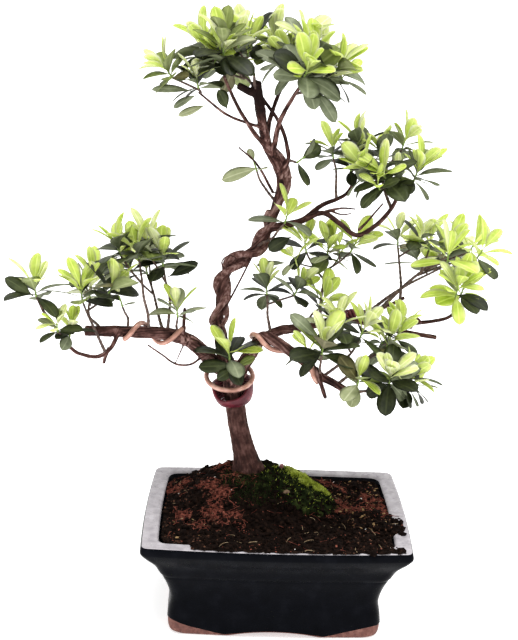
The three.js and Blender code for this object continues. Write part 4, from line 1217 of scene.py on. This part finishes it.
POT_OUTSIDE = [
    (17, 0), (15.4, 1.5), (14.8, 6), (15.2, 12), (16.3, 20), (15.6, 26), (14, 32), (11.9, 37.6), (11.5, 39),
    (10.4, 40.6), (7.5, 47), (3, 53), (1, 56), (0.3, 57.2), (0, 58.6), (0.2, 60.4), (0.7, 61.5), (1.6, 62),
]
POT_INSIDE = [(1.6, 62), (7.6, 62), (8.8, 61.6), (9.5, 60.6), (14, 52), (21, 38), (22, 8)]
RIM_CORNER = 4
CORNER_GROWTH = 0.4
BOW_INSET = 30
DEPTH_SHARE = 0.82
SIDE_POINTS = 44
CORNER_POINTS = 14
FRONT_ARCH = 27
SIDE_ARCH = 19
ARCH_HEIGHT = 4
ARCH_POWER = 0.8
ARCH_BLEND = 14
LEVEL_START = ARCH_BLEND + 0.3
GLAZE_THICKNESS = 0.4
GLAZE_LIP = 0.15
GLAZE_START = 0.8
GLAZE_RISE = 8
GLAZE_RUNS = [(0.35, (1 / 5.3, 0)), (0.28, (1 / 2.9, 1 / 4.1)), (0.28, (0, 1 / 3.7))]
GLAZE_FADE = (55, POT_HEIGHT)
GLAZE_CORNERS = [(X, 18, 60), (Y, 10, 40)]
# Heights above which the wall takes the rim's pale look of painted reflection
PALE_RIM_OUTSIDE = 61.3
PALE_RIM_INSIDE = 61.2
INSETS = np.linspace(-2, 18, 81)
OUTSIDE_RINGS = 150
INSIDE_RINGS = 60
CLAY_RINGS = 8
BLEND_RINGS = 6
UNDER_SCALES = (0.1, 0.25, 0.4, 0.55, 0.7, 0.85)
FLOOR_SCALES = (0.66, 0.33)
GLAZE, RIM, CLAY = range(3)


def quadratic(start, pull, end, count):
    t = np.arange(count)[:, None] / count
    start, pull, end = (np.array(point, float) for point in (start, pull, end))
    return (1 - t)**2 * start + 2 * t * (1 - t) * pull + t**2 * end


def pot_outline(inset):
    """Outline of the pot at one inset: round corners and gently bowed sides, the front bowed most."""
    x = RIM_WIDTH / 2 - inset
    y = RIM_DEPTH / 2 - inset * DEPTH_SHARE
    bow = RIM_BOW * (1 - inset / BOW_INSET)
    corner = RIM_CORNER + inset * CORNER_GROWTH
    pulls = [(x + bow, 0), (x, y), (0, y + bow), (-x, y), (-x - bow, 0), (-x, -y), (0, -y - 2 * bow), (x, -y)]
    side_x, side_y = x - corner, y - corner
    ends = [
        (x, -side_y), (x, side_y), (side_x, y), (-side_x, y),
        (-x, side_y), (-x, -side_y), (-side_x, -y), (side_x, -y),
    ]
    counts = [SIDE_POINTS, CORNER_POINTS] * 4
    return np.concatenate([quadratic(*part) for part in zip(ends, pulls, ends[1:] + ends[:1], counts)])


def arch(outline):
    """Height of the underside over the table: two low arches that cross under the pot."""
    x, y = outline.T
    front = np.clip(1 - (x / FRONT_ARCH)**2, 0, 1)
    side = np.clip(1 - (y / SIDE_ARCH)**2, 0, 1)
    return ARCH_HEIGHT * np.maximum(front, side)**ARCH_POWER


def glaze_line(outline):
    """Height where the glaze ends above the bare clay: high at the corners, with small runs."""
    rise = (GLAZE_RISE + waves(outline, GLAZE_RUNS)) * zone(np.abs(outline), GLAZE_CORNERS)
    return arch(outline) + GLAZE_START + rise


def smooth_profile(levels, count):
    """Insets and heights on a smooth curve through the levels of a wall."""
    line = Line([0, 0], [(inset, 0, z) for inset, z in levels])
    points = line.at(np.linspace(0, 1, count))
    return points[:, 0], points[:, 2]


def flat_ring(outline, z):
    return np.column_stack([outline, np.broadcast_to(z, len(outline))])


def slanted_ring(z, insets):
    """A ring of the wall whose height and inset differ from point to point."""
    outlines = np.stack([pot_outline(inset) for inset in INSETS])
    share = np.clip(np.interp(insets, INSETS, np.arange(len(INSETS))), 0, len(INSETS) - 1 - 1e-6)
    low = share.astype(int)
    index = np.arange(len(z))
    return flat_ring(lerp(outlines[low, index], outlines[low + 1, index], (share - low)[:, None]), z)


def pot_rings():
    """Rings from the underside up the wall, over the rim and down to the floor, each with its look."""
    insets, heights = smooth_profile(POT_OUTSIDE, OUTSIDE_RINGS)
    foot = pot_outline(insets[0])
    edge = glaze_line(foot)
    rings = [(flat_ring(foot * scale, arch(foot * scale)), CLAY) for scale in UNDER_SCALES]
    slants = [(lerp(arch(foot), edge, share), 0, CLAY) for share in np.linspace(0, 1, CLAY_RINGS)]
    slants.append((edge - GLAZE_LIP, GLAZE_THICKNESS, GLAZE))
    for share in np.linspace(0, 1, BLEND_RINGS):
        slants.append((lerp(edge, ARCH_BLEND, share), GLAZE_THICKNESS, GLAZE))
    for z, swell, look in slants:
        rings.append((slanted_ring(z, np.interp(z, heights, insets) - swell), look))
    for inset, z in zip(insets, heights):
        if z > LEVEL_START:
            swell = GLAZE_THICKNESS * (1 - smoothstep(z, *GLAZE_FADE))
            rings.append((flat_ring(pot_outline(inset - swell), z), RIM if z > PALE_RIM_OUTSIDE else GLAZE))
    for inset, z in list(zip(*smooth_profile(POT_INSIDE, INSIDE_RINGS)))[1:]:
        rings.append((flat_ring(pot_outline(inset), z), RIM if z > PALE_RIM_INSIDE else GLAZE))
    floor = rings[-1][0]
    return rings + [(floor * [scale, scale, 1], GLAZE) for scale in FLOOR_SCALES]


def make_pot():
    rings, looks = zip(*pot_rings())
    count = len(rings[0])
    quads, triangles = wall_faces(len(rings), count)
    poles = np.array([[0, 0, ARCH_HEIGHT], [0, 0, rings[-1][0, 2]]])
    shape = Shape(np.concatenate([*rings, poles]))
    shape.add_faces(quads, np.repeat(looks[:-1], count))
    shape.add_faces(triangles, np.repeat([CLAY, GLAZE], count))
    add_piece("pot_glazed", shape, [glaze_look(), rim_look(), clay_look()], ["pot"])


# Soil: level along the wall, the mound round the trunk's foot, and where it spills on the rim

SOIL_EDGE = 58.5
SOIL_EDGE_FRONT = 61.5
MOUND_FLAT = 13
MOUND_REACH = 58
TRUNK_HOLE = 4.0
SOIL_RINGS = 64
SOIL_INSET = 10.9
SKIRT_INSET = 16.5
SKIRT_HEIGHT = 48
SPILL_INSET = 0.3
SPILL_RISE = 0.6
SPILL_SLOPE = 9
SPILL_SHARE = 0.34
SPILL_FRONT = [(Y, -40, -46), (X, -54, -34), (X, 70, 58)]
SPILL_RIGHT = [(X, 56, 62), (Y, -2, -10), (Y, -34, -26)]
RIGHT_SHARE = 0.8
SPILL_FULL = 0.95
SPILL_WAVES = [(0.08, (1 / 2.3, 0)), (0.07, (1 / 1.1, 1))]
CLODS = [(2.2, 7), (1.1, 2.2)]
EDGE_CLODS = 0.15
EDGE_SHARE = 0.14
RED_LEVEL = 0.08
SOIL_TINT = ((0.0025, 0.0014, 0.0011), (0.007, 0.0038, 0.0027), (0.022, 0.011, 0.0075))
RED_TINT = ((0.008, 0.0035, 0.0025), (0.075, 0.023, 0.016), (0.27, 0.085, 0.06))


def spilled(outline):
    """How far the soil has spilled over the rim, from 0 to 1: mid front, and at the right."""
    spill = np.maximum(zone(outline, SPILL_FRONT), RIGHT_SHARE * zone(outline, SPILL_RIGHT))
    return np.clip(spill * (SPILL_FULL + waves(outline, SPILL_WAVES)), 0, 1)


def soil_rings():
    """Rings of the soil's surface from the wall to the trunk's foot, before its crumbs."""
    edge = pot_outline(SOIL_INSET)
    spill = spilled(edge)
    rim = lerp(edge, pot_outline(SPILL_INSET), spill[:, None])
    away = np.linalg.norm(edge - TRUNK_FOOT, axis=1)
    top = TRUNK_FOOT + (edge - TRUNK_FOOT) * (TRUNK_HOLE / away)[:, None]
    rings = []
    for share in np.linspace(0, 1, SOIL_RINGS):
        spot = lerp(rim, top, share)
        distance = np.linalg.norm(spot - TRUNK_FOOT, axis=1)
        climb = 1 - smoothstep(distance, MOUND_FLAT, np.minimum(MOUND_REACH, away))
        level = lerp(SOIL_EDGE, SOIL_EDGE_FRONT, (RIM_DEPTH / 2 - spot[:, 1]) / RIM_DEPTH)
        height = lerp(level, GROUND, climb)
        near_rim = spill * (1 - smoothstep(share, 0.0, SPILL_SHARE))
        heaped = lerp(height, POT_HEIGHT + SPILL_RISE + SPILL_SLOPE * share, near_rim)
        rings.append(np.column_stack([spot, np.maximum(height, heaped)]))
    return np.stack(rings)


def lumps(points, sizes):
    """Heights of uneven lumps at each point, from pairs of a height and a grain."""
    flat = points.reshape(-1, 3)
    total = sum(height * fractal(flat + 50 * k, grain, 3) for k, (height, grain) in enumerate(sizes))
    return total.reshape(points.shape[:-1])


def make_soil():
    """The bed of soil. Gives the rings of its surface, for what lies on it."""
    grid = soil_rings()
    count = grid.shape[1]
    share = np.linspace(0, 1, SOIL_RINGS)[:, None]
    grid[..., 2] += lerp(EDGE_CLODS, 1.0, smoothstep(share, 0, EDGE_SHARE)) * lumps(grid, CLODS)
    skirt = flat_ring(pot_outline(SKIRT_INSET), SKIRT_HEIGHT)
    quads, triangles = wall_faces(SOIL_RINGS + 1, count)
    points = np.concatenate([skirt, grid.reshape(-1, 3), [[0, 0, SKIRT_HEIGHT], [*TRUNK_FOOT, GROUND]]])
    shape = Shape(points, triangles)
    shape.add_faces(quads, on_coir(points[quads].mean(axis=1)) > RED_LEVEL)
    looks = [soil_look("soil", *SOIL_TINT), soil_look("soil_red", *RED_TINT)]
    add_piece("soil_bed", shape, looks, ["soil"])
    return grid


# Litter: crumbs and threads on the soil

CRUMB_CORNER = 0.62
CRUMB_RISE = 0.5
CRUMB = np.array([
    (1, 0, 0), (-1, 0, 0), (0, 1, 0), (0, -1, 0), (0, 0, 1), (0, 0, -1),
    *(
        (x * CRUMB_CORNER, y * CRUMB_CORNER, z * CRUMB_RISE)
        for z in (1, -1) for x, y in ((1, 1), (-1, 1), (-1, -1), (1, -1))
    ),
], float)
CRUMB_RINGS = [(6, 9, 13, 10), (8, 7, 11, 12), (7, 6, 10, 11), (9, 8, 12, 13), (6, 7, 8, 9), (10, 13, 12, 11)]
CRUMB_FACES = np.array([
    (tip, ring[k], ring[(k + 1) % 4]) for tip, ring in enumerate(CRUMB_RINGS) for k in range(4)
])
CRUMB_DENTS = (0.65, 1.3)
CRUMB_STRETCH = (0.6, 1.2)
CRUMB_TILT = (-0.6, 0.6)
FLATNESS = 0.7
FIBRE_POINTS = 7
FIBRE_SIDES = 4
FIBRE_RISE = (-0.15, 0.35)
FIBRE_CLING = 0.8
FIBRE_CURL = (-0.7, 0.7)
FIBRE_HUMP = (0.02, 0.16)
FIBRE_RADII = (0.6, 1.4)


def scatter(grid, count, rng, weight=None):
    """Places and directions out of a grid of rings, evenly by area, or by a weight given at each place."""
    a, b = grid[:-1], np.roll(grid[:-1], -1, axis=1)
    c, d = np.roll(grid[1:], -1, axis=1), grid[1:]
    area = np.linalg.norm(np.cross(c - a, d - b), axis=-1)
    chance = area * (weight((a + b + c + d) / 4) if weight else 1)
    chosen = rng.choice(chance.size, count, p=(chance / chance.sum()).ravel())
    s, t = rng.random((2, count, 1))
    a, b, c, d = (corner.reshape(-1, 3)[chosen] for corner in (a, b, c, d))
    return lerp(lerp(a, b, s), lerp(d, c, s), t), unit(np.cross(c - a, d - b))


def copies(points, faces):
    """A shape of many alike parts, from the points of each and the faces of one."""
    starts = (np.arange(len(points)) * points.shape[1])[:, None, None]
    return Shape(points.reshape(-1, 3), (starts + faces).reshape(-1, faces.shape[1]))


def crumbs(places, sizes, rng, flatness=FLATNESS):
    """Small rough lumps, each of its own form and turn."""
    count = len(places)
    forms = CRUMB[None] * rng.uniform(*CRUMB_DENTS, (count, len(CRUMB), 1))
    forms = forms * rng.uniform(*CRUMB_STRETCH, (count, 1, 3)) * [1, 1, flatness]
    angle = rng.uniform(0, 2 * math.pi, count)
    cos, sin = np.cos(angle)[:, None], np.sin(angle)[:, None]
    x, y, z = np.moveaxis(forms, -1, 0)
    tilt = rng.uniform(*CRUMB_TILT, (count, 1))
    spun = np.stack([x * cos - y * sin, x * sin + y * cos, z + tilt * x], axis=-1)
    return copies(places[:, None] + spun * sizes[:, None, None], CRUMB_FACES)


def fibres(places, out, lengths, radius, rng):
    """Thin bent threads that lie on the soil, with their ends a little up or down."""
    shape = Shape()
    t = np.linspace(-0.5, 0.5, FIBRE_POINTS)[:, None]
    for place, normal, length in zip(places, out, lengths):
        bearing = rng.uniform(0, 2 * math.pi)
        ahead = offset(bearing, 1, rng.uniform(*FIBRE_RISE))
        ahead = unit(ahead - normal * np.dot(ahead, normal) * FIBRE_CLING)
        curl = rng.uniform(*FIBRE_CURL) * (t**2 - 0.1) * np.cross(normal, ahead)
        hump = rng.uniform(*FIBRE_HUMP) * (0.25 - t**2) * 2 * normal
        points = place + length * (t * ahead + curl + hump) + normal * radius
        shape.add(*tube(points, np.full(FIBRE_POINTS, radius) * rng.uniform(*FIBRE_RADII), FIBRE_SIDES))
    return shape


# Where litter lies: edges of its zones, the grain of its patches, and the small chance to lie elsewhere
PATCH_EDGES = (-0.1, 0.35)
COIR_LEFT = [(X, -10, -30), (Y, -34, -8)]
COIR_BEHIND = [(X, 10, 30), (Y, -16, 8)]
BEHIND_SHARE = 0.8
COIR_PATCHES = 14
COIR_TUFTS = 5
COIR_THIN = 0.3
COIR_STRAY = 0.005
LOAM_LEFT = [(X, -22, -46)]
LOAM_RIGHT = [(X, 26, 46)]
LOAM_PATCHES = 6
LOAM_STRAY = 0.01
CHIPS_RIGHT = [(X, 30, 48), (Y, -40, -10)]
CHIPS_STRAY = 0.03
BRIM_RIGHT = [(X, 58, 62), (Y, 0, -8), (Y, -34, -28)]


def in_patches(place, grain):
    """A weight from 0 to 1 that gathers things in patches."""
    return smoothstep(lumps(place, [(1, grain)]), *PATCH_EDGES)


def on_coir(place):
    """Red fibre lies at the back left, and at the right behind the moss."""
    sides = np.maximum(zone(place, COIR_LEFT), BEHIND_SHARE * zone(place, COIR_BEHIND))
    tufted = lerp(COIR_THIN, 1, in_patches(place, COIR_TUFTS))
    return COIR_STRAY + sides * in_patches(place, COIR_PATCHES) * tufted


def on_loam(place):
    """Lighter crumbs lie near the left and the right wall."""
    sides = zone(place, LOAM_LEFT) + zone(place, LOAM_RIGHT)
    return LOAM_STRAY + sides * in_patches(place, LOAM_PATCHES)


def on_right(place):
    return CHIPS_STRAY + zone(place, CHIPS_RIGHT)


def on_brim(place):
    """Lumps lie on the rim at the right, where the soil has spilled."""
    return zone(place, BRIM_RIGHT)


# Kinds of litter: the look, how many, their sizes, where they lie, and how flat or how thick they are
CRUMBS = {
    "soil_crumbs": ("soil_crumb", 5200, (0.3, 1.25), None, 0.7),
    "soil_clods": ("soil_crumb", 420, (1.3, 2.8), None, 0.7),
    "brim_clods": ("soil_crumb", 46, (1.0, 2.6), on_brim, 0.8),
    "coir_crumbs": ("coir", 2600, (0.25, 0.75), on_coir, 0.6),
    "loam_crumbs": ("loam", 900, (0.25, 0.9), on_loam, 0.7),
    "bark_chips": ("chips", 120, (0.5, 1.7), on_right, 0.3),
    "perlite": ("perlite", 46, (0.3, 0.75), None, 0.8),
}
THREADS = {
    "coir_threads": ("coir", 900, (2.5, 11), on_coir, 0.14),
    "rootlets": ("rootlets", 60, (3, 9), None, 0.18),
}
LITTER_TINTS = {
    "soil_crumb": ((0.002, 0.0011, 0.0009), (0.006, 0.0032, 0.0023), (0.021, 0.0105, 0.007)),
    "coir": ((0.03, 0.009, 0.007), (0.17, 0.048, 0.034), (0.42, 0.15, 0.1)),
    "loam": ((0.02, 0.009, 0.006), (0.075, 0.034, 0.022), (0.19, 0.1, 0.062)),
    "chips": ((0.13, 0.07, 0.03), (0.26, 0.16, 0.075), (0.44, 0.32, 0.17)),
    "perlite": ((0.5, 0.47, 0.43), (0.66, 0.64, 0.6), (0.8, 0.79, 0.75)),
    "rootlets": ((0.16, 0.105, 0.06), (0.28, 0.2, 0.12), (0.44, 0.35, 0.23)),
}
LITTER_SEED = 7


def make_litter(grid):
    rng = np.random.default_rng(LITTER_SEED)
    looks = {name: soil_look(name, *tones) for name, tones in LITTER_TINTS.items()}
    for name, (look, count, sizes, weight, flatness) in CRUMBS.items():
        places, _ = scatter(grid, count, rng, weight)
        add_piece(name, crumbs(places, rng.uniform(*sizes, count), rng, flatness), [looks[look]])
    for name, (look, count, lengths, weight, radius) in THREADS.items():
        places, out = scatter(grid, count, rng, weight)
        add_piece(name, fibres(places, out, rng.uniform(*lengths, count), radius, rng), [looks[look]])


# Moss: a low cushion on the mound, from the trunk's foot down to the right

MOSS_CENTRE = np.array([12.0, 12.0, 66.0])
MOSS_RADII = np.array([29.0, 18.0, 8.5])
MOSS_TURN = -32
MOSS_SLOPE = 17
MOSS_SPIN = np.array(
    Matrix.Rotation(math.radians(MOSS_TURN), 3, "Z") @ Matrix.Rotation(math.radians(MOSS_SLOPE), 3, "Y")
)
MOSS_LUMPS = [(1.5, 7), (0.6, 2.5)]
MOSS_RINGS = 40
MOSS_SIDES = 72
MOSS_BOTTOM = 6
# The dome's lowest and highest ring, as angles over its middle in radians
MOSS_FOOT = -0.35
MOSS_CROWN = math.pi / 2 * 0.98
# Where moss grows on the soil, where painted light falls on the dome, and where crumbs lie as painted shade
MOSS_BY_TRUNK = TRUNK_FOOT + [6, -13]
MOSS_REACH = (26, 11)
# The way the painted light on the dome comes from: up and to the back right
MOSS_FACING = (0, 0.6, 0.8)
CREST = (0.76, 1.0)
CREST_PATCHES = 4
CREST_THIN = 0.12
CREST_STRAY = 0.004
# Where dark crumbs lie as painted shade: on the side of the dome turned away from its light
MOSS_SHADED_SIDE = (0.75, 0.45)
# Looks of the moss, and what grows and lies on it
MOSS_DARK = ((0.005, 0.007, 0.0025), (0.013, 0.019, 0.006), (0.045, 0.06, 0.016))
# A bright copy of the moss, painted light where the crest faces the light
MOSS_PAINTED_LIGHT = ((0.17, 0.22, 0.02), (0.42, 0.5, 0.06), (0.7, 0.78, 0.2))
MOSS_CRUMBS = 420
MOSS_CRUMB_SIZES = (0.5, 1.7)
MOSS_SEED = 11
BLADE_LEAN = 0.42
BLADE_SINK = 0.3
BLADE_WIDTH = 0.17
BLADE_FACES = np.array([(0, 1, 3), (1, 2, 3), (2, 0, 3), (2, 1, 0)])
FALLEN_BUD = np.array([3.8, 20.0, 80.5])
BUD_SIZE = 1.5
MOSS_STONE = np.array([5.5, 2.0, 71.0])
STONE_SIZE = 2.0
CLUMP = 5
CLUMP_REACH = (-0.5, 0.5)
CLUMP_SIZES = (0.7, 1.1)


def moss_grid():
    """Rings of the moss cushion from its foot to its crown: a leaning dome with lumps."""
    rise = np.linspace(MOSS_FOOT, MOSS_CROWN, MOSS_RINGS)[:, None]
    angle = round_angles(MOSS_SIDES)
    dome = np.stack([
        np.cos(rise) * np.cos(angle), np.cos(rise) * np.sin(angle), np.sin(rise) + 0 * angle,
    ], axis=-1)
    points = (dome * MOSS_RADII) @ MOSS_SPIN.T + MOSS_CENTRE
    return points + (dome @ MOSS_SPIN.T) * lumps(points, MOSS_LUMPS)[..., None]


def moss_light(place):
    """How far a place on the dome faces up and to the back right, toward its painted light, from about -1 to
    1.
    """
    return ((place - MOSS_CENTRE) @ MOSS_SPIN) / MOSS_RADII @ MOSS_FACING


# Bright moss lies in patches where painted light falls on the crest
def on_lit_crest(place):
    patchy = lerp(CREST_THIN, 1, in_patches(place, CREST_PATCHES))
    return CREST_STRAY + smoothstep(moss_light(place), *CREST) * patchy


def on_shaded_side(place):
    return smoothstep(moss_light(place), *MOSS_SHADED_SIDE)


def by_trunk(place):
    return smoothstep(np.linalg.norm(place[..., :2] - MOSS_BY_TRUNK, axis=-1), *MOSS_REACH)


def tufts(places, out, lengths, rng):
    """Short pointed blades with three sides that stand out of a surface."""
    lean = unit(out + rng.normal(0, BLADE_LEAN, places.shape))
    side = unit(np.cross(lean, rng.normal(0, 1, places.shape)))
    other = np.cross(lean, side)
    lengths = lengths[:, None]
    root, width = places - lean * BLADE_SINK, lengths * BLADE_WIDTH
    feet = [root + (side * math.cos(angle) + other * math.sin(angle)) * width for angle in round_angles(3)]
    return copies(np.stack([*feet, places + lean * lengths], axis=1), BLADE_FACES)


def bud_look():
    return surface("bud", [(0.12, 0.03, 0.03), (0.34, 0.14, 0.13)], (0.3, 0.7), 1.5, (0.6, 0.8))


def stone_look():
    return surface("stone", [(0.1, 0.055, 0.03), (0.3, 0.2, 0.12)], (0.3, 0.7), 2, (0.8, 0.95), 0.2, 0.6)


def make_moss(soil_grid):
    rng = np.random.default_rng(MOSS_SEED)
    grid = moss_grid()
    dark = moss_look("moss_dark", *MOSS_DARK)
    bright = moss_look("moss_painted_light", *MOSS_PAINTED_LIGHT)
    earth = soil_look("moss_soil", *LITTER_TINTS["soil_crumb"])
    poles = np.array([MOSS_CENTRE - UP * MOSS_BOTTOM, grid[-1].mean(axis=0)])
    cushion = Shape(np.concatenate([grid.reshape(-1, 3), poles]), *wall_faces(MOSS_RINGS, MOSS_SIDES))
    add_piece("moss_cushion", cushion, [dark], ["moss"])
    blades = {
        "moss_tufts": (grid, 5200, (0.9, 2.0), None, dark),
        "moss_lit_crest": (grid, 5200, (0.8, 2.2), on_lit_crest, bright),
        "moss_mound": (soil_grid, 5200, (0.8, 2.2), by_trunk, dark),
    }
    for name, (ground, count, lengths, weight, look) in blades.items():
        places, out = scatter(ground, count, rng, weight)
        add_piece(name, tufts(places, out, rng.uniform(*lengths, count), rng), [look])
    # Dark soil crumbs lie as painted shade on the side of the dome turned away from its light
    places, _ = scatter(grid, MOSS_CRUMBS, rng, on_shaded_side)
    sizes = rng.uniform(*MOSS_CRUMB_SIZES, MOSS_CRUMBS)
    add_piece("moss_shade_crumbs", crumbs(places, sizes, rng), [earth])
    clumps = {
        "fallen_bud": (FALLEN_BUD, BUD_SIZE, bud_look()),
        "moss_stone": (MOSS_STONE, STONE_SIZE, stone_look()),
    }
    for name, (spot, size, look) in clumps.items():
        places = spot + rng.uniform(*CLUMP_REACH, (CLUMP, 3)) * size
        add_piece(name, crumbs(places, rng.uniform(*CLUMP_SIZES, CLUMP) * size, rng), [look])


# Stage: a pale floor, an even surround, a broad soft key from above, and the camera of the photograph

FLOOR_METRES = 80
FLOOR_GLOW = 0.5
SURROUND = 1.05
KEY = 2.6
KEY_SOFTNESS = 45
KEY_FROM = (0.25, -0.12, 1.0)
CAMERA_SPOT = np.array([-22.2, -645.9, 371.0])
CAMERA_YAW = -0.77
CAMERA_PITCH = 16.42
CAMERA_ROLL = 1.74
FOCAL_PIXELS = 1159.4
IMAGE_HEIGHT = 640
SENSOR = 36
CLIP_METRES = 0.01


def make_floor():
    reach = FLOOR_METRES
    corners = [(-reach, -reach, 0), (reach, -reach, 0), (reach, reach, 0), (-reach, reach, 0)]
    mesh = bpy.data.meshes.new("floor")
    mesh.from_pydata(corners, [], [(0, 1, 2, 3)])
    white = {"Emission_Color": (1, 1, 1, 1), "Emission_Strength": FLOOR_GLOW}
    tones = [(0.9, 0.9, 0.9), (0.92, 0.92, 0.92)]
    mesh.materials.append(surface("floor", tones, (0.3, 0.7), 60, (0.85, 0.95), **white))
    placed("floor", mesh)


def make_lights():
    world = bpy.data.worlds.new("studio")
    bpy.context.scene.world = world
    world.use_nodes = True
    background = world.node_tree.nodes["Background"]
    background.inputs["Color"].default_value = (1, 1, 1, 1)
    background.inputs["Strength"].default_value = SURROUND
    sun = bpy.data.lights.new("key", "SUN")
    sun.energy = KEY
    sun.angle = math.radians(KEY_SOFTNESS)
    placed("key", sun).rotation_euler = (-Vector(KEY_FROM)).to_track_quat("-Z", "Y").to_euler()


def make_camera():
    data = bpy.data.cameras.new("camera")
    data.sensor_fit = "VERTICAL"
    data.sensor_height = SENSOR
    data.lens = FOCAL_PIXELS * SENSOR / IMAGE_HEIGHT
    data.clip_start = CLIP_METRES
    place = Matrix.Translation(Vector(to_frame(CAMERA_SPOT)))
    for angle, axis in ((CAMERA_YAW, "Z"), (90 - CAMERA_PITCH, "X"), (CAMERA_ROLL, "Z")):
        place = place @ Matrix.Rotation(math.radians(angle), 4, axis)
    camera = placed("camera", data)
    camera.matrix_world = place
    bpy.context.scene.camera = camera
    bpy.context.scene.view_settings.view_transform = "Standard"


make_camera()
make_lights()
make_floor()
make_pot()
soil_surface = make_soil()
make_litter(soil_surface)
make_moss(soil_surface)
make_bark()
make_wires()
make_crown()
